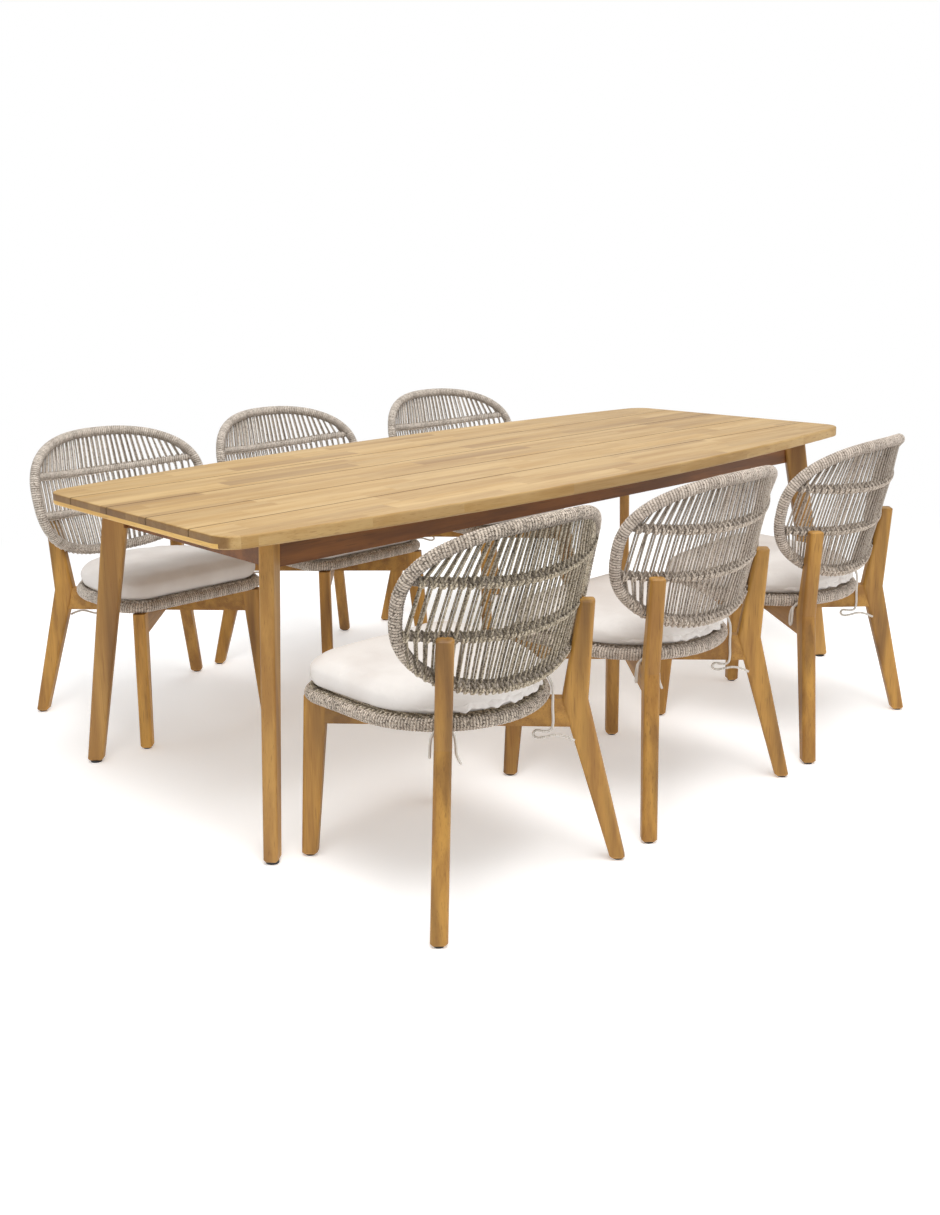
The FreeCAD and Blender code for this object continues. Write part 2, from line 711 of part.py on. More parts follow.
def build_seat_ring():
    """The round tube that carries the woven seat."""
    body = doc.addObject("PartDesign::Body", "seat_ring_tube")
    path = sketch_on(body, "XY_Plane", "seat_ring_path")
    seat_plan(path, "0")
    profile = sketch_on(body, "YZ_Plane", "seat_ring_section")
    radius = size("seat_ring_dia") / 2
    centre = FreeCAD.Vector(size("seat_front_y"), 0, 0)
    profile.addGeometry(Part.Circle(centre, FreeCAD.Vector(0, 0, 1), radius), False)
    for constraint, expression in (
            (Sketcher.Constraint("Radius", 0, radius), "Sizes.seat_ring_dia / 2"),
            (Sketcher.Constraint("DistanceX", -1, 1, 0, 3, centre.x), "Sizes.seat_front_y")):
        index = profile.addConstraint(constraint)
        profile.setExpression("Constraints[%d]" % index, expression)
    pipe = body.newObject("PartDesign::AdditivePipe", "seat_ring_pipe")
    pipe.Profile = profile
    pipe.Spine = path
    body.Tip = pipe
    bind(body, "Placement.Base.z", "Sizes.seat_ring_level")
    return body


# ---------------------------------------------------------------- back

def signed_power(value, power):
    """value to a power, with its sign kept."""
    return math.copysign(abs(value) ** power, value)


def on_back(x, z):
    """A point of the back's surface: raked backwards and wrapped round the sitter."""
    wrap = size("hoop_wrap_depth") * (x / size("hoop_half_width")) ** 2
    y = size("hoop_centre_y") - size("hoop_rake") * (z - size("hoop_centre_level")) + wrap
    return FreeCAD.Vector(x, y, z)


def hoop_point(turn):
    """A point of the hoop's centre line, an egg-shaped superellipse laid on the surface."""
    power = 2.0 / size("hoop_squareness")
    rise = signed_power(math.sin(turn), power)
    egg = 1.0 + size("hoop_egg") * math.sin(turn)
    x = size("hoop_half_width") * signed_power(math.cos(turn), power) * egg
    return on_back(x, size("hoop_centre_level") + size("hoop_half_height") * rise)


def bar_curve(level):
    """The centre line of a cross bar, from hoop to hoop, sagging towards its middle."""
    rise = (level - size("hoop_centre_level")) / size("hoop_half_height")
    power = size("hoop_squareness")
    egg = 1.0 + size("hoop_egg") * math.copysign(abs(rise) ** (power / 2), rise)
    reach = size("hoop_half_width") * (1.0 - abs(rise) ** power) ** (1.0 / power) * egg
    points = []
    steps = 8
    for k in range(steps + 1):
        share = 2.0 * k / steps - 1.0
        sag = size("bar_sag") * (1.0 - share ** 2)
        points.append(on_back(share * reach, level - sag))
    curve = Part.BSplineCurve()
    curve.interpolate(points)
    return curve


def build_back():
    """The hoop with its two bars as one welded frame, and the three woven panels in it."""
    corners = 32
    turns = [2.0 * math.pi * k / corners for k in range(corners)]
    hoop_curve = Part.BSplineCurve()
    hoop_curve.interpolate(Points=[hoop_point(turn) for turn in turns], PeriodicFlag=True)
    bars = [bar_curve(size("upper_bar_level")), bar_curve(size("lower_bar_level"))]
    tubes = swept_tubes(hoop_curve, size("hoop_dia"), 2)
    for bar in bars:
        tubes += swept_tubes(bar, size("bar_dia"), 1)
    frame = doc.addObject("Part::Feature", "hoop_and_bars")
    frame.Shape = tubes[0].fuse(tubes[1:])

    reach = size("hoop_half_width") * (1.0 + size("hoop_egg")) + size("hoop_dia")
    depth = size("hoop_wrap_depth") * (reach / size("hoop_half_width")) ** 2
    low = size("hoop_centre_level") - size("hoop_half_height") - size("hoop_dia")
    height = 2.0 * (size("hoop_half_height") + size("hoop_dia"))
    middle = on_back(0, low)
    edges = []
    for offset, way in ((-size("web_thick") / 2, 1), (size("web_thick") / 2, -1)):
        poles = [FreeCAD.Vector(x, middle.y + y + offset, low)
                 for x, y in ((-reach, depth), (0, -depth), (reach, depth))][::way]
        curve = Part.BezierCurve()
        curve.setPoles(poles)
        edges.append(curve)
    outline = []
    for k in (0, 1):
        outline.append(edges[k].toShape())
        outline.append(Part.LineSegment(edges[k].EndPoint, edges[1 - k].StartPoint).toShape())
    strip = Part.Face(Part.Wire(outline))
    strip = strip.extrude(FreeCAD.Vector(0, -size("hoop_rake") * height, height))
    flat = Part.BSplineCurve()
    flat.interpolate(Points=[FreeCAD.Vector(hoop_point(turn).x, -2 * reach,
                                            hoop_point(turn).z) for turn in turns],
                     PeriodicFlag=True)
    inside = Part.Face(Part.Wire([flat.toShape()])).extrude(FreeCAD.Vector(0, 3 * reach, 0))
    clear = 2 * size("soft_gap")
    tubes = swept_tubes(hoop_curve, size("hoop_dia") + clear, 2)
    for bar in bars:
        tubes += swept_tubes(bar, size("bar_dia") + clear, 1)
    room = doc.addObject("Part::Feature", "hoop_room")
    room.Shape = Part.makeCompound(tubes)
    panels = strip.common(inside).cut(tubes)
    webs = doc.addObject("Part::Feature", "back_webs")
    solids = sorted(panels.Solids, key=lambda solid: -solid.Volume)
    webs.Shape = Part.makeCompound(solids[:3])
    return frame, webs, room


# ---------------------------------------------------------------- cushion ties

# Each route is a list of (outwards along the diagonal, across it, level) places, chosen by
# hand: the right tie hangs down and makes its bow under the rail, the left tie goes over the
# rail, loops down its far side and comes back.
RIGHT_TIE = [(232.3, -19, 432), (241, -20, 421), (245, -21, 396), (243, -20, 362),
             (245, -21, 330), (241, -22, 309), (224, -23, 307), (206, -22, 311),
             (199, -23, 300), (210, -24, 292), (228, -25, 296), (248, -26, 302),
             (270, -25, 299), (290, -26, 289)]
LEFT_TIE = [(232.3, -19, 432), (241, -20, 421), (245.5, -19, 405), (247, -9, 390),
            (248, 8, 388), (247, 21, 381), (245, 25, 362), (246, 26, 344),
            (254, 27, 334), (263, 26, 344), (262, 25, 366), (257, 21, 386),
            (256, 7, 397), (256, -9, 398), (255, -24, 386), (252, -27, 362),
            (249, -27, 343), (243, -31, 326), (237, -37, 314)]


def tie_place(reach, across, level, side):
    """A place given along and across a rail, as a point of the chair."""
    turn = diagonal()
    x = reach * math.cos(turn) + across * math.sin(turn)
    y = size("rail_cross_y") - reach * math.sin(turn) + across * math.cos(turn)
    return FreeCAD.Vector(side * x, y, level)


def cord_tube(points, diameter, name):
    """A cord of straight runs joined by tangent arcs, each as large as its two runs allow."""
    edges = []
    radii = []
    length = 0.0
    start = points[0]
    for before, corner, after in zip(points, points[1:], points[2:]):
        back = before - corner
        ahead = after - corner
        turn = math.pi - back.getAngle(ahead)
        reach = BEND_SHARE * min(back.Length, ahead.Length)
        radii.append(reach / math.tan(turn / 2))
        back_unit = FreeCAD.Vector(back).normalize()
        ahead_unit = FreeCAD.Vector(ahead).normalize()
        first = corner + back_unit * reach
        last = corner + ahead_unit * reach
        bisector = (back_unit + ahead_unit).normalize()
        to_centre = radii[-1] / math.cos(turn / 2)
        middle = corner + bisector * (to_centre - radii[-1])
        edges.append(Part.LineSegment(start, first).toShape())
        edges.append(Part.Arc(first, middle, last).toShape())
        length += (first - start).Length + radii[-1] * turn
        start = last
    edges.append(Part.LineSegment(start, points[-1]).toShape())
    length += (points[-1] - start).Length
    wire = Part.Wire(edges)
    heading = points[1] - points[0]
    section = Part.Wire([Part.makeCircle(diameter / 2.0, points[0], heading)])
    tube = wire.makePipeShell([section], True, False)
    expected = math.pi * diameter ** 2 / 4 * length
    print("%s: length %.1f mm, radii %s, volume over expected %.4f" % (
        name, length, ["%.1f" % radius for radius in radii], tube.Volume / expected))
    return tube


def build_ties():
    """The two cords that hold the cushion's back corners to the rails."""
    cords = []
    for name, route, side in (("right_tie", RIGHT_TIE, 1), ("left_tie", LEFT_TIE, -1)):
        points = [tie_place(*place, side) for place in route]
        cord = doc.addObject("Part::Feature", name)
        cord.Shape = cord_tube(points, size("tie_dia"), name)
        cords.append(cord)
    return group("tie_pair", cords)


# ---------------------------------------------------------------- assembly

def add_node(nodes, name, members):
    """A named piece of the set, ready to be placed and written."""
    node = doc.addObject("Part::Compound", name)
    node.Label = name
    node.Links = members
    nodes.append(node)
    return node


# Each chair's letter, its side of the table (-1 near, 1 far), and the end of the table that
# it is next to (-1 left, 0 middle, 1 right).
CHAIRS = (("a", -1, -1), ("b", -1, 0), ("c", -1, 1), ("d", 1, -1), ("e", 1, 0), ("f", 1, 1))


def build_chairs(nodes):
    """Draw the chair's pieces once and set six of each round the table."""
    frame, back_webs, hoop_room = build_back()
    back_legs = build_back_legs(hoop_room)
    front_legs = build_front_legs()
    rails = build_cross_rails(back_legs, front_legs)
    ring_top = "Sizes.seat_ring_level + Sizes.seat_ring_dia / 2"
    seat_web = seat_pad("seat_web", "(-Sizes.seat_ring_dia / 2 - Sizes.soft_gap)",
                        "Sizes.web_thick", "Sizes.seat_ring_level - Sizes.web_thick / 2")
    cushion = seat_pad("seat_cushion", "Sizes.cushion_overhang", "Sizes.cushion_thick",
                       ring_top + " + Sizes.soft_gap", "Sizes.cushion_base_round",
                       "Sizes.cushion_top_round")
    pieces = (("back_legs", [back_legs]), ("front_legs", [front_legs]),
              ("cross_rails", [rails]), ("back_frame", [frame]),
              ("seat_ring", [build_seat_ring()]), ("rope_webs", [back_webs, seat_web]),
              ("cushion", [cushion]), ("ties", [build_ties()]), ("fixings", [build_fixings()]))
    for letter, row, end in CHAIRS:
        own = "Sizes.chair_%s_" % letter
        place = own + "along"
        if end:
            place = "%d * (Sizes.table_leg_top_x - %salong)" % (end, own)
        for piece, members in pieces:
            node = add_node(nodes, "chair_%s_%s" % (letter, piece), members)
            node.Placement = upright_turn()
            bind(node, "Placement.Rotation.Angle", own + "turn")
            bind(node, "Placement.Base.x", place)
            bind(node, "Placement.Base.y", "%d * (Sizes.table_end_width / 2 "
                 "+ Sizes.table_side_bow + %sstand_off)" % (row, own))


def build_table(nodes):
    """The table's six nodes."""
    planks, battens = build_top()
    legs = build_table_legs()
    frame = build_table_frame(legs, planks)
    blocks, bolts = build_corner_blocks(frame)
    add_node(nodes, "table_top_planks", [planks])
    add_node(nodes, "table_end_battens", [battens])
    add_node(nodes, "table_frame", [frame])
    add_node(nodes, "table_legs", [legs])
    add_node(nodes, "table_corner_blocks", [blocks])
    add_node(nodes, "table_fixings", bolts + build_table_glides())


def write_parts(nodes):
    """Check every object and every node, then write one STEP file for each node."""
    doc.recompute()
    for obj in doc.Objects:
        if "Invalid" in obj.State or "Error" in obj.State:
            raise RuntimeError("%s is %s" % (obj.Name, obj.State))
    for node in nodes:
        if node.Shape.isNull() or not node.Shape.isValid() or not node.Shape.Solids:
            raise RuntimeError("%s has no valid shape" % node.Label)
    os.makedirs("parts", exist_ok=True)
    for node in nodes:
        node.Shape.exportStep("parts/%s.step" % node.Label)
        print("%-24s %2d solids %9.1f cm3" % (node.Label, len(node.Shape.Solids),
                                               node.Shape.Volume / 1000))


all_nodes = []
build_table(all_nodes)
build_chairs(all_nodes)
write_parts(all_nodes)
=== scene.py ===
"""Looks of a patio dining set: a plank table and six rope-backed chairs, dressed on the frame.

Every length is in metres. Each chair is worked out about its own seat, +Y the way it faces, and
is then turned and moved to where the frame's seat ring lies.
"""

import json
import logging
import math
from dataclasses import dataclass, field
from enum import Enum

import bpy
import numpy as np
from mathutils import Matrix, Vector


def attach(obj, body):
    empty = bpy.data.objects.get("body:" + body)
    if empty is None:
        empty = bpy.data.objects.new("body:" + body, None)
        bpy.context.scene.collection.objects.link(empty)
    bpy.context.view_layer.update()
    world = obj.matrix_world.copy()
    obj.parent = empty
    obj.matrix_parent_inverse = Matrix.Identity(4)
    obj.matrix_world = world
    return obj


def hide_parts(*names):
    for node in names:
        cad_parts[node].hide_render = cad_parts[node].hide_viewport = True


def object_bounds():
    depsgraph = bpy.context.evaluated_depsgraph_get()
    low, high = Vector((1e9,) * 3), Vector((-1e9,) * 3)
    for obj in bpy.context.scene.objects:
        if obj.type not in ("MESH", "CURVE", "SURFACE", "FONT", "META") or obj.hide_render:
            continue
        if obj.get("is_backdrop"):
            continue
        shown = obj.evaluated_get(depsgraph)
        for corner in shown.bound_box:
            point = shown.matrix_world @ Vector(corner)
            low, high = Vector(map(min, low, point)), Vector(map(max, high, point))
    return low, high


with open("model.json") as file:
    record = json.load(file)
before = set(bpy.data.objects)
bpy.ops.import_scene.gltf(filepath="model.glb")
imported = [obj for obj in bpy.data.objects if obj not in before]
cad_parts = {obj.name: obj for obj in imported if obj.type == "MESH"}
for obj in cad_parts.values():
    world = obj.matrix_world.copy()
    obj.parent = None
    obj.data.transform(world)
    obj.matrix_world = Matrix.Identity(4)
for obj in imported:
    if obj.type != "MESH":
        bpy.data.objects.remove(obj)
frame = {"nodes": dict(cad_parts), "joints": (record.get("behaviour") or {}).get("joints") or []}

CAD_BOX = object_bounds()
LETTERS = "abcdef"
RAIL_TURN = math.radians(48.4)
WHITE = (1.0, 1.0, 1.0, 1.0)
LOG = logging.getLogger("dining_set")

Colour = tuple[float, float, float]
Socket = bpy.types.NodeSocket


class Grain(Enum):
    """The way the fibres of a wooden piece run, with the axis that they follow."""

    ALONG_X = ("along x", 0)
    ALONG_Y = ("along y", 1)
    UPRIGHT = ("upright", 2)
    DIAGONAL = ("along x once turned", 0)

    @property
    def axis(self) -> int:
        """The axis that the fibres follow."""
        return self.value[1]


class Row(Enum):
    """Where a chair stands. Its back's lean, and the painted light and shade of its rope, back
    and front legs, go by it.
    """

    NEAR = "near corner"
    MIDDLE = "rest of the near side"
    FAR = "far side"


ROWS = dict(zip(LETTERS, (Row.NEAR, Row.MIDDLE, Row.MIDDLE, Row.FAR, Row.FAR, Row.FAR)))


def tones(*colours: tuple[int, int, int]) -> tuple[Colour, ...]:
    """Turn 8-bit display colours into linear light.

    Args:
        *colours: Red, green and blue, each from 0 to 255.

    Returns:
        Each colour as three linear values.
    """
    made = []
    for colour in colours:
        shares = [value / 255 for value in colour]
        made.append(tuple(share / 12.92 if share <= 0.04045 else ((share + 0.055) / 1.055) ** 2.4
                          for share in shares))
    return tuple(made)


# ------------------------------------------------------------------ finishes


class Graph:
    """A node tree under work, with short calls for the nodes that the finishes share."""

    def __init__(self, owner: bpy.types.Material | bpy.types.World) -> None:
        """Empty an owner's tree down to its output.

        Args:
            owner: A new world, or a new material, which also gets a principled shader.
        """
        owner.use_nodes = True
        self.owner, self.tree = owner, owner.node_tree
        self.tree.nodes.clear()
        if isinstance(owner, bpy.types.World):
            self.output = self.node("ShaderNodeOutputWorld")
        else:
            self.output = self.node("ShaderNodeOutputMaterial")
            self.shader = self.node("ShaderNodeBsdfPrincipled")
            self.plug(self.output.inputs[0], self.shader.outputs[0])

    def plug(self, socket: Socket, value: object) -> None:
        """Link a socket, or set it to a plain value.

        Args:
            socket: The input socket.
            value: An output socket or a value.
        """
        if isinstance(value, Socket):
            self.tree.links.new(value, socket)
        else:
            socket.default_value = value

    def fill(self, node: bpy.types.Node, **inputs: object) -> None:
        """Plug several inputs of a node.

        Args:
            node: The node.
            **inputs: Socket name with _ for a space, or s0, s1 and so on by number, to a value
                or an output socket.
        """
        for key, value in inputs.items():
            by_number = key[0] == "s" and key[1:].isdigit()
            self.plug(node.inputs[int(key[1:]) if by_number else key.replace("_", " ")], value)

    def node(self, kind: str, settings: dict[str, str] | None = None,
             **inputs: object) -> bpy.types.Node:
        """Add a node.

        Args:
            kind: The node's type.
            settings: Attributes to set on the node.
            **inputs: Its inputs, as fill takes them.

        Returns:
            The node.
        """
        made = self.tree.nodes.new(kind)
        for key, value in (settings or {}).items():
            setattr(made, key, value)
        self.fill(made, **inputs)
        return made

    def place(self, output: str = "Object") -> Socket:
        """The place of the shaded point."""
        return self.node("ShaderNodeTexCoord").outputs[output]

    def maths(self, operation: str, first: object, second: object = 0.0) -> Socket:
        """The result of a Math node."""
        made = self.node("ShaderNodeMath", {"operation": operation}, s0=first, s1=second)
        return made.outputs[0]

    def mix(self, share: object, first: object, second: object, blend: str = "MIX") -> Socket:
        """A colour mixed from two.

        Args:
            share: How much of the second colour, a number or a socket.
            first: The first colour.
            second: The second colour.
            blend: The blend type.

        Returns:
            The colour.
        """
        made = self.node("ShaderNodeMix", {"data_type": "RGBA", "blend_type": blend}, s0=share)
        for socket, value in ((made.inputs[6], first), (made.inputs[7], second)):
            self.plug(socket, value if isinstance(value, Socket) else (*value, 1.0))
        return made.outputs[2]

    def ramp(self, value: object, low: float, high: float) -> Socket:
        """Stretch a value so that low becomes 0 and high becomes 1, with a smooth step."""
        return self.node("ShaderNodeMapRange", {"interpolation_type": "SMOOTHSTEP"}, s0=value,
                         s1=low, s2=high).outputs[0]

    def tint(self, colour: Socket, value: object, low: float, high: float, share: float,
             towards: Colour) -> Socket:
        """A colour drawn towards another one where a value is high.

        Args:
            colour: The colour.
            value: The value.
            low: The value at which the other colour begins.
            high: The value at which it is full.
            share: How far the colour is drawn then.
            towards: The other colour.

        Returns:
            The colour.
        """
        return self.mix(self.maths("MULTIPLY", self.ramp(value, low, high), share), colour,
                        towards)

    def noise(self, vector: object, scale: float, detail: float = 3.0,
              roughness: float = 0.55) -> Socket:
        """A noise value at a vector."""
        return self.node("ShaderNodeTexNoise", Vector=vector, Scale=scale, Detail=detail,
                         Roughness=roughness).outputs[0]

    def mapped(self, vector: object, scale: tuple[float, float, float],
               turn: float = 0.0) -> Socket:
        """A vector turned about Z and stretched."""
        return self.node("ShaderNodeMapping", Vector=vector, Scale=scale,
                         Rotation=(0.0, 0.0, turn)).outputs[0]

    def bump(self, height: object, strength: float, depth: float) -> None:
        """Send a height to the shader's normal."""
        made = self.node("ShaderNodeBump", Height=height, Strength=strength, Distance=depth)
        self.fill(self.shader, Normal=made.outputs[0])


@dataclass(frozen=True)
class Layer:
    """One noise in the wood, drawn out along the fibres, and how it darkens it.

    Attributes:
        squeeze: The scale along the fibres, against 1 across them.
        scale: How many waves cross a metre.
        detail: The noise's detail.
        roughness: The noise's roughness.
        low: The value at which the darker tone begins.
        high: The value at which it is full.
        share: How far the tone goes then.
    """

    squeeze: float
    scale: float
    detail: float
    roughness: float
    low: float
    high: float
    share: float = 1.0


BANDS = Layer(0.09, 26.0, 4.0, 0.62, 0.35, 0.66)
FIBRES = Layer(0.012, 420.0, 3.0, 0.6, 0.5, 0.75, 0.28)
PORES = Layer(0.05, 260.0, 1.0, 0.4, 0.66, 0.74, 0.35)
STAVE_TONES = ((1.10, 1.08, 1.04), (0.80, 0.74, 0.66))
JOINT_COLOUR = (0.05, 0.03, 0.012)
SAWN = (0.62, 0.8)  # how far along the fibres a face points before it shows end grain


@dataclass(frozen=True)
class WoodFinish:
    """Oiled wood with growth bands, fibres, pores and, on a glued top, staves.

    Attributes:
        name: The material's name.
        pale: The lightest tone.
        warm: The middle tone.
        dark: The tone of the bands.
        grain: The way the fibres run.
        roughness: How matt the oil is.
        stave: Length and width of the glued staves, or None for solid wood.
        turn: The turn of the piece about the vertical, in radians.
        spread: How strongly the tone differs from stave to stave.
        end_grain_and_highlight: What the sawn ends' colour is multiplied by; below 1 it is
            darker end grain,
        above 1 a painted highlight on ends that face the light.
        streak: How strongly the dark figure shows.
        joints: How far from the middle the first of four joints between planks runs, or 0.
            The second is three times as far.
        figure: How many waves of the dark figure cross a metre.
    """

    name: str
    pale: Colour
    warm: Colour
    dark: Colour
    grain: Grain
    roughness: float = 0.48
    stave: tuple[float, float] | None = None
    turn: float = 0.0
    spread: float = 0.5
    end_grain_and_highlight: Colour = (1.0, 1.0, 1.0)
    streak: float = 0.6
    joints: float = 0.0
    figure: float = 4.0

    def build(self) -> bpy.types.Material:
        """Make the material.

        Returns:
            The material.
        """
        graph = Graph(bpy.data.materials.new(self.name))
        place, stave_tone = graph.place(), None
        if self.grain is Grain.DIAGONAL:
            place = graph.mapped(place, (1.0, 1.0, 1.0), self.turn)
        if self.stave:
            stave_tone, place = self._staves(graph, place)
        figure = Layer(0.09, self.figure, 2.0, 0.55, 0.48, 0.70, self.streak)
        bands, fibres = (self._layer(graph, place, layer) for layer in (BANDS, FIBRES))
        colour = graph.mix(graph.ramp(bands, BANDS.low, BANDS.high), self.pale, self.warm)
        for layer, value in ((figure, self._layer(graph, place, figure)), (FIBRES, fibres),
                             (PORES, self._layer(graph, place, PORES))):
            colour = graph.tint(colour, value, layer.low, layer.high, layer.share, self.dark)
        if stave_tone is not None:
            lighter, deeper = (graph.mix(1.0, colour, tone, "MULTIPLY") for tone in STAVE_TONES)
            colour = graph.mix(self.spread, colour, graph.mix(stave_tone, lighter, deeper))
        if self.joints:
            colour = self._joint_lines(graph, colour)
        # Sawn ends take the end tone: real end grain on the table top, a painted highlight on
        # the legs' ends.
        if self.grain is not Grain.DIAGONAL:
            facing = graph.node("ShaderNodeSeparateXYZ", s0=graph.place("Normal"))
            sawn = graph.ramp(graph.maths("ABSOLUTE", facing.outputs[self.grain.axis]), *SAWN)
            colour = graph.mix(sawn, colour, graph.mix(1.0, colour, self.end_grain_and_highlight, "MULTIPLY"))
        rough = graph.node("ShaderNodeMapRange", s0=fibres, s3=self.roughness - 0.06,
                           s4=self.roughness + 0.1)
        graph.fill(graph.shader, Base_Color=colour, Roughness=rough.outputs[0])
        graph.bump(graph.maths("ADD", fibres, graph.maths("MULTIPLY", bands, 0.6)), 0.25, 0.0006)
        return graph.owner

    def _layer(self, graph: Graph, place: Socket, layer: Layer) -> Socket:
        """A layer's noise at a place.

        Args:
            graph: The graph under work.
            place: The object coordinates.
            layer: The layer.

        Returns:
            The noise's value.
        """
        scale = [1.0, 1.0, 1.0]
        scale[self.grain.axis] = layer.squeeze
        return graph.noise(graph.mapped(place, tuple(scale)), layer.scale, layer.detail,
                           layer.roughness)

    def _joint_lines(self, graph: Graph, colour: Socket) -> Socket:
        """Darken the joints between planks, where ||y| - 2j| - j is 0.

        Args:
            graph: The graph under work.
            colour: The colour of the wood.

        Returns:
            The colour with the joints.
        """
        side = graph.node("ShaderNodeSeparateXYZ", s0=graph.place()).outputs[1]
        for fold in (2 * self.joints, self.joints):
            side = graph.maths("SUBTRACT", graph.maths("ABSOLUTE", side), fold)
        return graph.tint(colour, graph.maths("ABSOLUTE", side), 0.0031, 0.0016, 0.6,
                          JOINT_COLOUR)

    def _staves(self, graph: Graph, place: Socket) -> tuple[Socket, Socket]:
        """Give each glued stave its own tone and its own stretch of grain.

        Args:
            graph: The graph under work.
            place: The object coordinates.

        Returns:
            A value from 0 to 1 for each stave, and coordinates shifted for each stave.
        """
        length, width = self.stave
        parts = graph.node("ShaderNodeSeparateXYZ", s0=place)
        row = graph.maths("FLOOR", graph.maths("DIVIDE", parts.outputs[1], width))
        row_shift = graph.node("ShaderNodeTexWhiteNoise", {"noise_dimensions": "1D"}, W=row)
        run = graph.maths("ADD", graph.maths("DIVIDE", parts.outputs[0], length),
                          row_shift.outputs[0])
        cell = graph.node("ShaderNodeCombineXYZ", X=graph.maths("FLOOR", run), Y=row)
        tone = graph.node("ShaderNodeTexWhiteNoise", {"noise_dimensions": "2D"},
                          Vector=cell.outputs[0])
        shift = graph.node("ShaderNodeVectorMath", {"operation": "SCALE"},
                           s0=tone.outputs["Color"], Scale=3.0)
        moved = graph.node("ShaderNodeVectorMath", {"operation": "ADD"}, s0=place,
                           s1=shift.outputs[0])
        return tone.outputs["Value"], moved.outputs[0]


@dataclass(frozen=True)
class RopeFinish:
    """Braided outdoor rope flecked with darker yarns.

    It reads the piece's UV map, in metres, and its "tone" attribute, painted shade that is 1 on
    a rope's crown and falls towards 0 in the grooves between ropes, where it darkens the colour.

    Attributes:
        name: The material's name.
        light: The palest yarn.
        middle: The main yarn.
        dark: The darkest fleck.
        fleck: Share of dark yarn, 0 to 1.
        grooved: The piece has a "tone" attribute of painted shade, and a map; a plain cord has
        neither, and is coloured by its place.
    """

    name: str
    light: Colour
    middle: Colour
    dark: Colour
    fleck: float
    grooved: bool = True

    def build(self) -> bpy.types.Material:
        """Make the material.

        Returns:
            The material.
        """
        graph = Graph(bpy.data.materials.new(self.name))
        place = graph.node("ShaderNodeUVMap").outputs[0] if self.grooved else graph.place()
        slanted = graph.mapped(place, (1.0, 1.0, 1.0), 0.6)
        yarn = graph.noise(graph.mapped(slanted, (520.0, 150.0, 1.0)), 1.0, 2.0, 0.6)
        blotch = graph.noise(graph.mapped(place, (110.0, 210.0, 1.0)), 1.0, 2.0, 0.5)
        mean = graph.maths("ADD", graph.maths("MULTIPLY", yarn, 0.5),
                           graph.maths("MULTIPLY", blotch, 0.5))
        edge = 0.70 - 0.3 * self.fleck
        colour = graph.mix(graph.ramp(yarn, 0.38, 0.62), self.light, self.middle)
        colour = graph.tint(colour, mean, edge - 0.05, edge + 0.05, 0.85, self.dark)
        if self.grooved:
            # Painted shade: where the tone falls towards 0, the colour is drawn towards the dark
            # yarn and multiplied by a dim brown.
            tone = graph.node("ShaderNodeAttribute", {"attribute_name": "tone"}).outputs["Fac"]
            groove = graph.mix(1.0, graph.mix(0.75, colour, self.dark), (0.45, 0.42, 0.38),
                               "MULTIPLY")
            colour = graph.mix(tone, groove, colour)
        graph.fill(graph.shader, Base_Color=colour, Roughness=0.85, Sheen_Weight=0.1)
        weave = graph.node("ShaderNodeTexWave", {"wave_type": "BANDS"},
                           Vector=graph.mapped(slanted, (500.0, 160.0, 1.0)), Scale=0.35,
                           Distortion=1.5)
        graph.bump(graph.maths("ADD", weave.outputs[1], yarn), 0.6, 0.0006)
        return graph.owner


@dataclass(frozen=True)
class ClothFinish:
    """Plain woven cushion cloth.

    Attributes:
        name: The material's name.
        colour: The cloth's colour.
        shade: Its slightly darker threads and clouds.
        threads: How fine the weave is.
    """

    name: str
    colour: Colour
    shade: Colour
    threads: float = 420.0

    def build(self) -> bpy.types.Material:
        """Make the material from its weave in object coordinates.

        Returns:
            The material.
        """
        graph = Graph(bpy.data.materials.new(self.name))
        place = graph.place()
        warp, weft = (graph.node("ShaderNodeTexWave", {"bands_direction": way}, Vector=place,
                                 Scale=self.threads, Distortion=0.6).outputs[1] for way in "XY")
        slub = graph.noise(graph.mapped(place, (6.0, 90.0, 40.0)), 3.0, 3.0, 0.6)
        cloud = graph.noise(place, 7.0, 3.0, 0.5)
        colour = graph.mix(graph.ramp(cloud, 0.35, 0.7), self.colour, self.shade)
        colour = graph.tint(colour, slub, 0.55, 0.75, 0.35, self.shade)
        graph.fill(graph.shader, Base_Color=colour, Roughness=0.9, Sheen_Weight=0.25,
                   Sheen_Roughness=0.5)
        graph.bump(graph.maths("ADD", graph.maths("MULTIPLY", warp, weft), slub), 0.35, 0.0004)
        return graph.owner


@dataclass(frozen=True)
class GlideFinish:
    """Black moulded glides and blackened screws."""

    name: str = "black_fixings"
    deep: Colour = (0.012, 0.012, 0.013)
    worn: Colour = (0.03, 0.03, 0.032)

    def build(self) -> bpy.types.Material:
        """Make the material with a faint moulded texture.

        Returns:
            The material.
        """
        graph = Graph(bpy.data.materials.new(self.name))
        grit = graph.noise(graph.place(), 900.0, 2.0)
        colour = graph.mix(graph.ramp(grit, 0.4, 0.7), self.deep, self.worn)
        graph.fill(graph.shader, Base_Color=colour, Roughness=0.55)
        graph.bump(grit, 0.2, 0.0002)
        return graph.owner


# ------------------------------------------------------------------ meshes


def linked(name: str, data: bpy.types.ID) -> bpy.types.Object:
    """Make an object and link it into the scene.

    Args:
        name: The object's name.
        data: Its mesh, curve, lamp or camera.

    Returns:
        The object.
    """
    made = bpy.data.objects.new(name, data)
    bpy.context.scene.collection.objects.link(made)
    return made


def smooth_mesh(name: str, points: np.ndarray, faces: list) -> bpy.types.Mesh:
    """Make a smooth-shaded mesh.

    Args:
        name: The mesh's name.
        points: Its points, one row each.
        faces: Its faces as point numbers.

    Returns:
        The mesh.
    """
    mesh = bpy.data.meshes.new(name)
    mesh.from_pydata(points.tolist(), [], faces)
    mesh.polygons.foreach_set("use_smooth", np.ones(len(mesh.polygons), dtype=bool))
    mesh.update()
    return mesh


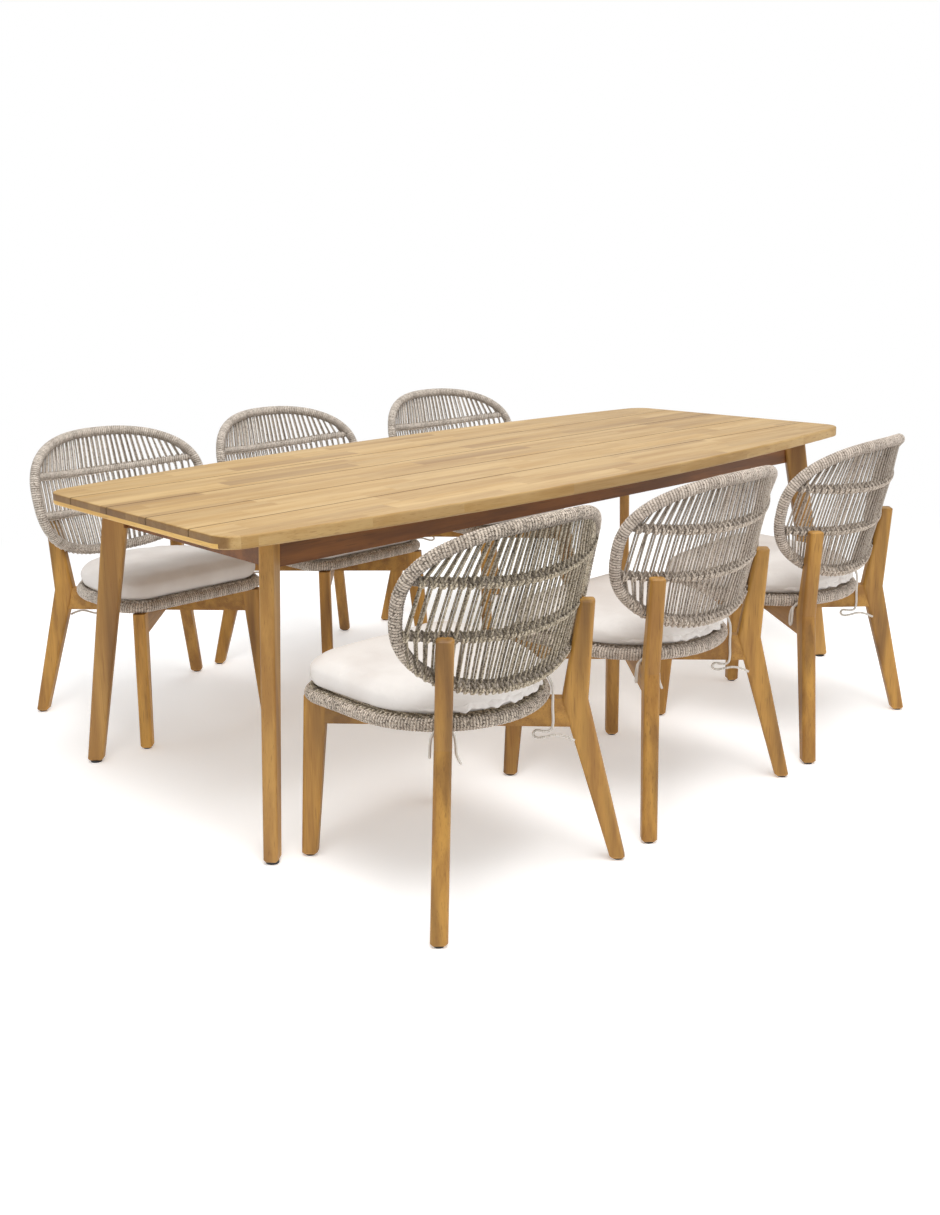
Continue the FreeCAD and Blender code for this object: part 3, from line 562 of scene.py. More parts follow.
def mesh_points(mesh: bpy.types.Mesh) -> np.ndarray:
    """Read a mesh's points.

    Args:
        mesh: The mesh.

    Returns:
        The points, one row each.
    """
    flat = np.zeros(len(mesh.vertices) * 3)
    mesh.vertices.foreach_get("co", flat)
    return flat.reshape(-1, 3)


def unit(vectors: np.ndarray) -> np.ndarray:
    """Vectors along the last axis, scaled to length 1."""
    return vectors / np.linalg.norm(vectors, axis=-1, keepdims=True)


def evenly(line: np.ndarray, steps: int) -> list[np.ndarray]:
    """Evenly spaced points of a closed line, by the length run along it.

    Args:
        line: The line's points, with the first one repeated at the end.
        steps: How many points.

    Returns:
        One array for each coordinate.
    """
    length = np.concatenate([[0], np.cumsum(np.linalg.norm(np.diff(line, axis=0), axis=1))])
    even = np.linspace(0, length[-1], steps, endpoint=False)
    return [np.interp(even, length, track) for track in line.T]


def loop_length(line: np.ndarray) -> float:
    """The length of a closed line of points."""
    return float(np.linalg.norm(np.roll(line, -1, axis=0) - line, axis=1).sum())


def grid_faces(rows: int, columns: int, close_rows: bool) -> np.ndarray:
    """Quads of a grid of points stored row by row, with the last column joined to the first.

    Args:
        rows: Points down the grid.
        columns: Points across it.
        close_rows: Join the last row to the first.

    Returns:
        An array of four point numbers for each face.
    """
    a, b = np.meshgrid(np.arange(rows if close_rows else rows - 1), np.arange(columns),
                       indexing="ij")
    next_a, next_b = (a + 1) % rows, (b + 1) % columns
    corners = [a * columns + b, next_a * columns + b, next_a * columns + next_b,
               a * columns + next_b]
    return np.stack(corners, axis=-1).reshape(-1, 4)


@dataclass
class Surface:
    """A surface made of whole arrays.

    Attributes:
        points: Point places, one row each.
        faces: Quads as point numbers.
        uv: Map places in metres for each face corner, in the order of the faces.
        tone: Painted shade: how bright each point is painted, from 0 in a groove to 1.
    """

    points: np.ndarray
    faces: np.ndarray
    uv: np.ndarray
    tone: np.ndarray

    @classmethod
    def joined(cls, parts: list["Surface"]) -> "Surface":
        """Join several surfaces into one, with the faces renumbered.

        Args:
            parts: The surfaces.

        Returns:
            The joined surface.
        """
        start = np.cumsum([0] + [len(part.points) for part in parts[:-1]])
        return cls(np.concatenate([part.points for part in parts]),
                   np.concatenate([part.faces + first for part, first in zip(parts, start)]),
                   np.concatenate([part.uv for part in parts]),
                   np.concatenate([part.tone for part in parts]))

    def piece(self, name: str) -> bpy.types.Object:
        """Make a mesh object of this surface, with its map and its "tone" attribute of painted
        shade.

        Args:
            name: The object's name.

        Returns:
            The object, linked into the scene.
        """
        mesh = smooth_mesh(name, self.points, self.faces.tolist())
        layer = mesh.uv_layers.new(name="UVMap")
        layer.data.foreach_set("uv", self.uv.reshape(-1).astype(np.float32))
        tone = mesh.attributes.new("tone", "FLOAT", "POINT")
        tone.data.foreach_set("value", self.tone.astype(np.float32))
        return linked(name, mesh)


MAP_SHIFT = 0.37  # metres along the map from one tube to the next, so that no two look alike


def tubes(paths: np.ndarray, radii: float | np.ndarray, sides: int, up: np.ndarray,
          closed: bool = False, tone: np.ndarray | None = None) -> Surface:
    """Round tubes along many paths at once.

    A point is path + radius * (cos(turn) * side + sin(turn) * other), where side is the path's
    heading crossed with up, and other is heading crossed with side. Open tubes shrink to a
    point at both ends, which closes them.

    Args:
        paths: Places, shaped (tubes, steps, 3).
        radii: One radius for all, or one for each point, shaped (tubes, steps, sides).
        sides: Points round each tube.
        up: A direction that no path runs along, shaped like paths or (3,).
        closed: The paths are loops.
        tone: Painted shade, as brightness, shaped (tubes, steps) or (tubes, steps, sides), or
            None
        for 1.

    Returns:
        The surface; its map has metres along the tube and round it.
    """
    up = np.broadcast_to(up, paths.shape)
    if np.ndim(radii) < 3:
        radii = np.repeat(np.broadcast_to(radii, paths.shape[:2])[:, :, None], sides, axis=2)
    tone = np.ones_like(radii) if tone is None else np.broadcast_to(
        tone if tone.ndim == 3 else tone[:, :, None], radii.shape)
    if closed:
        heading = np.roll(paths, -1, axis=1) - np.roll(paths, 1, axis=1)
        stride = np.linalg.norm(np.roll(paths, -1, axis=1) - paths, axis=2)
    else:
        stride = np.linalg.norm(np.diff(paths, axis=1), axis=2)
        ends = np.zeros((len(paths), 1, sides))
        radii = np.concatenate([ends, radii, ends], axis=1)
        stride = np.concatenate([stride[:, :1] * 0, stride, stride[:, :1] * 0], axis=1)
        paths, up, heading, tone = (
            np.concatenate([track[:, :1], track, track[:, -1:]], axis=1)
            for track in (paths, up, np.gradient(paths, axis=1), tone))
    count, steps = paths.shape[:2]
    along = np.concatenate([np.zeros((count, 1)), np.cumsum(stride, axis=1)], axis=1)
    heading = unit(heading)
    side = unit(np.cross(heading, up))
    other = np.cross(heading, side)
    turn = 2 * np.pi * np.arange(sides) / sides
    ring = (np.cos(turn)[None, None, :, None] * side[:, :, None, :]
            + np.sin(turn)[None, None, :, None] * other[:, :, None, :])
    points = paths[:, :, None, :] + radii[..., None] * ring
    faces = grid_faces(steps, sides, closed)
    row, column = faces[:, 0] // sides, faces[:, 0] % sides
    number = np.arange(count)[:, None, None]
    u = along[:, np.stack([row, row + 1, row + 1, row], axis=1)] + number * MAP_SHIFT
    columns = np.stack([column, column, column + 1, column + 1], axis=1)
    v = np.broadcast_to(columns / sides * 2 * np.pi * radii.max(), u.shape)
    return Surface(points.reshape(-1, 3), (faces[None] + number * steps * sides).reshape(-1, 4),
                   np.stack([u, v], axis=-1).reshape(-1, 2), tone.reshape(-1))


# ------------------------------------------------------------------ chair


@dataclass(frozen=True)
class ChairPlace:
    """Where one chair stands: its letter, the middle of its seat and its turn."""

    letter: str
    x: float
    y: float
    turn: float

    @classmethod
    def read(cls, letter: str, ring_back: float) -> "ChairPlace":
        """Work out a chair's place from its slide and its seat ring in the frame.

        The slide runs the way the chair faces. Seen along it, the ring spans the seat's width
        evenly, and its rearmost point is a known way behind the seat's middle.

        Args:
            letter: The chair's letter.
            ring_back: How far the ring's rearmost point is behind the seat's middle.

        Returns:
            The chair's place.
        """
        joint = next(j for j in frame["joints"] if j["child"] == "chair_" + letter)
        facing = unit(np.array(joint["axis"][:2]))
        across = np.array([facing[1], -facing[0]])
        ring = mesh_points(frame["nodes"]["chair_%s_seat_ring" % letter].data)[:, :2]
        sideways = ring @ across
        ahead = (ring @ facing).min() + ring_back
        middle = across * (sideways.min() + sideways.max()) / 2 + facing * ahead
        return cls(letter, float(middle[0]), float(middle[1]),
                   math.atan2(-facing[0], facing[1]))

    def put(self, points: np.ndarray) -> np.ndarray:
        """Turn and move points from the chair's own frame to the set's.

        Args:
            points: Points, one row each.

        Returns:
            The same points in the set's frame.
        """
        cosine, sine = math.cos(self.turn), math.sin(self.turn)
        turned = np.array([[cosine, sine, 0.0], [-sine, cosine, 0.0], [0.0, 0.0, 1.0]])
        return points @ turned + np.array([self.x, self.y, 0.0])


RING_SIDES = 16  # points round the hoop and the seat's ring
RING_SAMPLES = 5  # points along each of their coils
BAR_SIDES = 12
BAR_SAMPLES = 4
STRAND_SIDES = 7
LOOP_SIDES = 6
LOOP_STEPS = 8
TRACK_STEPS = 4000  # points of a line that others are measured on
KNOT_ROWS = np.arange(4)


@dataclass
class Back:
    """The roped back: a wound hoop, two wound bars, and pairs of strands knotted to them.

    Attributes:
        half_width: Half the hoop's width, between centre lines.
        half_height: Half its height.
        squareness: The superellipse's power; 2 is an ellipse, and more is squarer.
        egg: By what share the hoop is wider at its top than at its middle.
        centre_level: The level of the hoop's middle.
        centre_y: The y of the back's surface there.
        rake: How far the surface goes back for each metre up.
        wrap_depth: How far the hoop's sides come forward of its middle.
        hoop_radius: The hoop's radius over its rope.
        bar_radius: The bars' radius over their rope.
        bar_levels: The levels at which the two bars meet the hoop.
        bar_sag: How far the middle of a bar hangs below that.
        coil_pitch: The way from one coil of the winding to the next.
        coil_rise: How far a coil stands out of the grooves beside it.
        coil_slack: How much lower than the tightest coil the slackest one lies.
        strand_radius: The strands' radius.
        pairs: How many pairs of strands.
        knot_reach: How far from the middle the outermost pair is tied, from the top down.
        knot_lean: How far each row of knots is shifted across the back.
        slant: How much of that shift this back has, as backs are woven by hand.
        depth: How dark the painted shade on the upper loops and on the strands in front is, from
            0 to 1.
        shade: How dark the painted shade on the hoop's inner side is, from 0 to 1.
        unevenness: How far a knot or a loop strays across the back.
    """

    half_width: float = 0.2708
    half_height: float = 0.1713
    squareness: float = 2.516
    egg: float = 0.078
    centre_level: float = 0.641
    centre_y: float = -0.2629
    rake: float = 0.262
    wrap_depth: float = 0.1096
    hoop_radius: float = 0.0145
    bar_radius: float = 0.0105
    bar_levels: tuple[float, float] = (0.7187, 0.6058)
    bar_sag: float = 0.0203
    coil_pitch: float = 0.0064
    coil_rise: float = 0.0021
    coil_slack: float = 0.0004
    strand_radius: float = 0.0025
    pairs: int = 31
    knot_reach: tuple[float, ...] = (0.224, 0.246, 0.248, 0.226)
    knot_lean: tuple[float, ...] = (0.017, 0.006, -0.005, -0.016)
    slant: float = 0.0
    depth: float = 0.0
    shade: float = 0.45
    unevenness: float = 0.0006

    def on_back(self, x: np.ndarray, z: np.ndarray,
                behind: float | np.ndarray = 0.0) -> np.ndarray:
        """The back's surface: y falls with height by the rake and grows with x squared.

        Args:
            x: Places across the back.
            z: Levels.
            behind: How far behind the surface the points lie.

        Returns:
            The points.
        """
        y = (self.centre_y - self.rake * (z - self.centre_level)
             + self.wrap_depth * (x / self.half_width) ** 2)
        slope = 2 * self.wrap_depth * x / self.half_width ** 2
        normal = unit(np.stack([slope, -np.ones_like(x), -np.full_like(x, self.rake)], axis=-1))
        return np.stack([x, y, z], axis=-1) + normal * np.asarray(behind)[..., None]

    def hoop_line(self, steps: int) -> tuple[np.ndarray, np.ndarray]:
        """The hoop's centre line, evenly spaced: an egg-shaped superellipse on the surface.

        x = a * cos^(2/n) * (1 + e * sin) and z = level + b * sin^(2/n) of the same turn.

        Args:
            steps: How many points.

        Returns:
            The points and the x and z of the same points.
        """
        turn = np.linspace(0, 2 * np.pi, TRACK_STEPS + 1)
        power = 2 / self.squareness
        sine, cosine = np.sin(turn), np.cos(turn)
        x = (self.half_width * np.sign(cosine) * np.abs(cosine) ** power
             * (1 + self.egg * sine))
        z = self.centre_level + self.half_height * np.sign(sine) * np.abs(sine) ** power
        x, _, z = evenly(self.on_back(x, z), steps)
        return self.on_back(x, z), np.stack([x, z], axis=-1)

    def edge_level(self, x: np.ndarray, top: bool) -> np.ndarray:
        """The level of the hoop's centre line above or below a place on the back.

        Args:
            x: Places across the back.
            top: Take the upper half of the hoop and not the lower.

        Returns:
            The levels.
        """
        _, flat = self.hoop_line(TRACK_STEPS // 2)
        half = flat[(flat[:, 1] - self.centre_level) * (1 if top else -1) > 0]
        order = np.argsort(half[:, 0])
        return np.interp(x, half[order, 0], half[order, 1])

    def bar_reach(self, level: float) -> float:
        """How far from the middle a bar meets the hoop's centre line.

        It is the hoop's formula solved for x: with t = (level - centre) / b, the reach is
        a * (1 - |t|^n)^(1/n) * (1 + e * t^(n/2)), with the sign of t kept.

        Args:
            level: The bar's level there.

        Returns:
            The reach.
        """
        rise = (level - self.centre_level) / self.half_height
        egg = 1 + self.egg * math.copysign(abs(rise) ** (self.squareness / 2), rise)
        return self.half_width * (1 - abs(rise) ** self.squareness) ** (
            1 / self.squareness) * egg

    def bar_level(self, x: np.ndarray, level: float) -> np.ndarray:
        """The level of a bar's centre line at a place across the back, a parabola."""
        return level - self.bar_sag * (1 - (x / self.bar_reach(level)) ** 2)

    def coiled(self, line: np.ndarray, radius: float, closed: bool, sides: int,
               samples: int) -> Surface:
        """A tube wound with rope: its radius swells over each coil like half a rope.

        radius = core + rise * sqrt(1 - w^2), where w runs from -1 to 1 over each coil, and the
        coils climb one pitch for each turn round the tube. The tone is painted shade, dark in
        the grooves between coils. Each coil is slack by its own share, the sine of its number
        squared, and is lower by that share and painted darker by it, as shade.

        Args:
            line: The centre line, evenly spaced.
            radius: The outer radius over the rope.
            closed: The line is a loop.
            sides: Points round the tube.
            samples: Points along each coil.

        Returns:
            The surface.
        """
        steps = len(line)
        coils = round(steps / samples)
        phase = np.arange(steps)[:, None] * coils / steps + np.arange(sides) / sides
        swell = np.sqrt(np.clip(1 - (2 * (phase % 1.0) - 1) ** 2, 0, 1))
        slack = 0.5 + 0.5 * np.sin(np.floor(phase) ** 2 * 12.9898)
        radii = radius - self.coil_rise * (1 - swell) - self.coil_slack * slack
        # Painted shade: dark in the grooves between coils and on the slack coils.
        tone = np.clip(0.05 + 1.05 * swell ** 1.5 - 0.3 * slack, 0, 1)
        return tubes(line[None], radii[None], sides, np.array([0.0, 1.0, 0.25]), closed,
                     tone[None])

    def wound_hoop(self) -> Surface:
        """The hoop's wound surface, with painted shade on its coils along the hoop's inner side.

        Returns:
            The surface.
        """
        fine, _ = self.hoop_line(TRACK_STEPS)
        line, flat = self.hoop_line(RING_SAMPLES * round(loop_length(fine) / self.coil_pitch))
        made = self.coiled(line, self.hoop_radius, True, RING_SIDES, RING_SAMPLES)
        inwards = unit(np.array([0.0, self.centre_level]) - flat)
        offset = made.points.reshape(len(line), RING_SIDES, 3)[:, :, [0, 2]] - flat[:, None, :]
        inner = (offset * inwards[:, None, :]).sum(axis=2).reshape(-1) / self.hoop_radius
        # Painted shade on the hoop's inner side.
        made.tone = made.tone * (1 - self.shade * np.clip(inner + 0.1, 0, 1))
        return made

    def wound_bar(self, level: float) -> Surface:
        """One bar's wound surface, from hoop to hoop, in shade behind, between the knots.

        Args:
            level: The level at which the bar meets the hoop.

        Returns:
            The surface.
        """
        reach = self.bar_reach(level)
        bowed = 2 * reach * 1.08  # the bar bends back, so it is longer than it is wide
        x = np.linspace(-reach, reach, BAR_SAMPLES * round(bowed / self.coil_pitch))
        line = self.on_back(x, self.bar_level(x, level))
        made = self.coiled(line, self.bar_radius, False, BAR_SIDES, BAR_SAMPLES)
        back_y = self.on_back(made.points[:, 0], made.points[:, 2])[:, 1]
        rear = (back_y - made.points[:, 1]) / self.bar_radius
        made.tone = made.tone * (1 - 0.65 * np.clip(rear + 0.1, 0, 1))
        return made

    def strands(self, seed: int) -> Surface:
        """Pairs of strands from the hoop's top to its bottom, tied behind both bars.

        A strand is straight between its four knots, whose places across the back are
        share * reach + lean, each knot row with its own reach and lean. One strand of a pair
        runs further behind the bars than the other, and a little to its right.

        Args:
            seed: Seed of the small irregularities.

        Returns:
            The surface.
        """
        random = np.random.default_rng(seed)
        share = np.repeat(np.linspace(-1, 1, self.pairs), 2)[:, None]
        side = np.tile([-1.0, 1.0], self.pairs)[:, None]
        gap = self.strand_radius * np.array([0.5, 0.5, 0.7, 0.5])
        lean = self.slant * np.array(self.knot_lean)
        x_knots = share * np.array(self.knot_reach) + lean + side * gap
        x_knots = x_knots + random.normal(0, self.unevenness, x_knots.shape)
        upper, lower = self.bar_levels
        z_knots = np.stack([self.edge_level(x_knots[:, 0], True),
                            self.bar_level(x_knots[:, 1], upper),
                            self.bar_level(x_knots[:, 2], lower),
                            self.edge_level(x_knots[:, 3], False)], axis=1)
        place = np.linspace(0, KNOT_ROWS[-1], 16)
        x, z = (np.stack([np.interp(place, KNOT_ROWS, row) for row in rows])
                for rows in (x_knots, z_knots))
        rear, ahead = (np.interp(place, KNOT_ROWS, depths)[None, :]
                       for depths in ((0.3, 0.8, 0.8, 0.7), (-0.1, 0.2, 0.2, 0.1)))
        sway = np.sin(np.pi * (place % 1.0))[None, :]
        behind = self.bar_radius * np.where(side > 0, rear, ahead) - 0.001 * sway
        paths = self.on_back(x, z, behind)
        # Painted shade in the tone: each strand is darker on its side towards its partner, the
        # strand in front is darker by the back's depth, and each strand differs at random.
        ahead_tone = 0.85 - 0.25 * self.depth
        shade = np.where(side > 0, 1.05, ahead_tone) + random.normal(0, 0.1, side.shape)
        around = np.cos(2 * np.pi * np.arange(STRAND_SIDES) / STRAND_SIDES)[None, None, :]
        tone = shade[:, :, None] - 0.3 * (1 - around * side[:, :, None])
        tone = np.clip(np.repeat(tone, len(place), axis=1), 0, 1)
        return tubes(paths, self.strand_radius, STRAND_SIDES, np.array([0.0, 1.0, 0.0]),
                     tone=tone)

    def knots(self, seed: int) -> Surface:
        """The hitches on both bars and the hoop's foot: three leaning loops for each pair.

        The upper loop is painted darker, as shade, than the two lower ones. A loop is part of a
        turn round the bar, from one angle to another above or below straight behind, while it
        moves sideways by a share of the pitch between the pairs.

        Args:
            seed: Seed of the small irregularities.

        Returns:
            The surface.
        """
        random = np.random.default_rng(seed + 100)
        shares = np.linspace(-1, 1, self.pairs)
        rows = ((self.bar_levels[0], self.bar_radius), (self.bar_levels[1], self.bar_radius),
                (None, self.hoop_radius))
        # Each hitch ends with its tone, painted shade: the upper loop is darkest.
        hitches = ((1.75, -0.15, -0.46, 0.06, 0.8 - 0.5 * self.depth),
                   (0.3, -1.8, 0.36, 0.14, 1.05), (0.2, -1.8, -0.18, 0.06, 0.85))
        paths, shades = [], []
        for (level, radius), reach, lean in zip(rows, self.knot_reach[1:], self.knot_lean[1:]):
            centres = shares * reach + self.slant * lean
            pitch = centres[1] - centres[0]
            extent = 1.0 if level else 0.55
            for start, end, left, right, tone in hitches:
                turn = np.linspace(start, end, LOOP_STEPS)[None, :, None] * extent
                x = centres[:, None] + pitch * np.linspace(left, right, LOOP_STEPS)[None, :]
                x = x + random.normal(0, self.unevenness, (self.pairs, 1))
                z = self.bar_level(x, level) if level else self.edge_level(x, False)
                centre = self.on_back(x, z)
                out = self.on_back(x, z, 1.0) - centre
                rise = unit(np.stack([np.zeros_like(x), out[..., 2], -out[..., 1]], axis=-1))
                ring = radius + self.strand_radius * 0.5
                paths.append(centre + ring * (np.cos(turn) * out + np.sin(turn) * rise))
                shade = np.clip(tone + random.normal(0, 0.12, (self.pairs, 1)), 0, 1)
                shades.append(np.repeat(shade, LOOP_STEPS, axis=1))
        return tubes(np.concatenate(paths), self.strand_radius, LOOP_SIDES,
                     np.array([1.0, 0.0, 0.02]), tone=np.concatenate(shades))


@dataclass
class Seat:
    """The seat: a wound ring, the woven rope in it, and the room that its cushion fills.

    Attributes:
        half_width: Half the ring's width, between centre lines.
        front: The y of its front side.
        back: The y of its rearmost point.
        corner: The radius of its front corners.
        level: The level of its centre line.
        ring_radius: The ring's radius over its rope.
        coil_pitch: The way from one coil of the winding to the next.
        rope_radius: The radius of the woven ropes.
        web_reach: How far from the middle the outermost pair of ropes runs.
        web_pairs: How many pairs of ropes.
        web_gap: Half the way between the two ropes of a pair.
        web_sag: How far their middles hang.
        loop_count: How many loops of the weave go over the ring.
        cushion_base: The level of the cushion's base.
        cushion_top: The level of its top before it is filled.
    """

    half_width: float = 0.220
    front: float = 0.245
    back: float = -0.200
    corner: float = 0.070
    level: float = 0.393
    ring_radius: float = 0.0145
    coil_pitch: float = 0.0064
    rope_radius: float = 0.0028
    web_reach: float = 0.196
    web_pairs: int = 25
    web_gap: float = 0.003
    web_sag: float = 0.004
    loop_count: int = 132
    cushion_base: float = 0.4082
    cushion_top: float = 0.4645

    @property
    def turn_y(self) -> float:
        """The y of the centre of the half circle round the back."""
        return self.back + self.half_width

    def outline(self, steps: int, outset: float = 0.0) -> np.ndarray:
        """Evenly spaced points of the seat's outline: straight front and sides, quarter
        circles at the front corners, half a circle round the back.

        Args:
            steps: How many points.
            outset: How far outside the ring's centre line they lie.

        Returns:
            The points at the ring's level, anticlockwise from the middle of the front.
        """
        half, front, corner = (size + outset for size in (self.half_width, self.front,
                                                          self.corner))
        quarter = np.linspace(0, np.pi / 2, 60)
        left = np.stack([corner - half - corner * np.sin(quarter),
                         front - corner + corner * np.cos(quarter)], axis=1)
        round_back = np.linspace(np.pi, 2 * np.pi, 160)
        rear = np.stack([half * np.cos(round_back),
                         self.turn_y + half * np.sin(round_back)], axis=1)
        right = left[::-1] * np.array([-1.0, 1.0])
        line = np.concatenate([[[0.0, front]], left, rear, right, [[0.0, front]]])
        return np.stack([*evenly(line, steps), np.full(steps, self.level)], axis=1)

    def wound_ring(self, back: Back) -> Surface:
        """The ring's wound surface.

        Args:
            back: The back, which is wound with the same rope.

        Returns:
            The surface.
        """
        coils = round(loop_length(self.outline(TRACK_STEPS // 2)) / self.coil_pitch)
        return back.coiled(self.outline(RING_SAMPLES * coils), self.ring_radius, True,
                           RING_SIDES, RING_SAMPLES)

    def web(self) -> Surface:
        """The woven seat: pairs of ropes from front to back, which hang by half a sine.

        Returns:
            The surface.
        """
        x = np.linspace(-self.web_reach, self.web_reach, self.web_pairs)
        x = np.sort(np.concatenate([x - self.web_gap, x + self.web_gap]))[:, None]
        rear = self.turn_y - np.sqrt(self.half_width ** 2 - x ** 2)
        over = np.clip(np.abs(x) - (self.half_width - self.corner), 0, None)
        front = self.front - self.corner + np.sqrt(self.corner ** 2 - over ** 2)
        share = np.linspace(0, 1, 15)[None, :]
        paths = np.stack(np.broadcast_arrays(
            x, rear + (front - rear) * share,
            self.level - self.web_sag * np.sin(np.pi * share)), axis=-1)
        return tubes(paths, self.rope_radius, LOOP_SIDES, np.array([0.0, 0.0, 1.0]))

    def loops(self, seed: int) -> Surface:
        """Loops of the woven seat over the inner side of the ring, leaning along it.

        A loop is part of a turn round the ring, from below its inner side to its crest, while
        it moves along the ring by half the pitch between the loops.

        Args:
            seed: Seed of the small irregularities.

        Returns:
            The surface.
        """
        random = np.random.default_rng(seed + 200)
        count, fine = self.loop_count, 20
        line = self.outline(count * fine)
        heading = unit(np.roll(line, -1, axis=0) - np.roll(line, 1, axis=0))
        above = np.array([0.0, 0.0, 1.0])
        inwards = np.cross(above, heading)
        drift = np.linspace(0, 0.55 * fine, LOOP_STEPS).round().astype(int)
        jitter = random.integers(-2, 3, (count, 1))
        index = (np.arange(count)[:, None] * fine + drift[None, :] + jitter) % (count * fine)
        turn = np.linspace(-0.9, 1.75, LOOP_STEPS)[None, :, None]
        ring = self.ring_radius + self.rope_radius * 0.35
        paths = line[index] + ring * (np.cos(turn) * inwards[index] + np.sin(turn) * above)
        # Painted shade: the loops are darker than the ropes' crowns, each by its own random
        # share.
        tone = np.clip(random.normal(0.75, 0.2, (count, 1)), 0, 1)
        return tubes(paths, self.rope_radius, LOOP_SIDES, heading[index],
                     tone=np.repeat(tone, LOOP_STEPS, axis=1))

    def pillow(self, rows: int = 40, columns: int = 128) -> tuple[np.ndarray, list]:
        """The cushion before it is filled: the seat's outline, crowned above, flat below.

        From the top's middle to the base's middle a turn runs from 0 to pi. The reach towards
        the outline is sin(turn)^a, with a tighter round below than above, and the height is
        cos(turn)^0.55 with its sign kept. A fan of triangles closes each pole.

        Args:
            rows: Points from the middle of the top to the middle of the base.
            columns: Points round the outline.

        Returns:
            Points and faces.
        """
        rim = self.outline(columns, 0.006)[:, :2]
        centre = np.array([0.0, self.turn_y])
        turn = np.linspace(0, np.pi, rows + 2)[1:-1]
        reach = np.sin(turn) ** np.where(turn < np.pi / 2, 0.30, 0.12)
        height = np.sign(np.cos(turn)) * np.abs(np.cos(turn)) ** 0.55
        middle = (self.cushion_base + self.cushion_top) / 2
        half = (self.cushion_top - self.cushion_base) / 2
        xy = centre + (rim - centre)[None, :, :] * reach[:, None, None]
        z = np.broadcast_to((middle + half * height)[:, None, None], (rows, columns, 1))
        points = np.concatenate([xy, z], axis=2).reshape(-1, 3)
        poles = np.array([[*centre, middle + half], [*centre, middle - half]])
        top, base, last = rows * columns, rows * columns + 1, (rows - 1) * columns
        faces = grid_faces(rows, columns, False).tolist()
        for k in range(columns):
            follow = (k + 1) % columns
            faces += [(top, k, follow), (base, last + follow, last + k)]
        return np.concatenate([points, poles]), faces


CLOTH_SETTINGS = {"quality": 6, "mass": 0.25, "tension_stiffness": 12,
                  "compression_stiffness": 12, "shear_stiffness": 5, "bending_stiffness": 0.4,
                  "use_pressure": True, "uniform_pressure_force": 3.0}


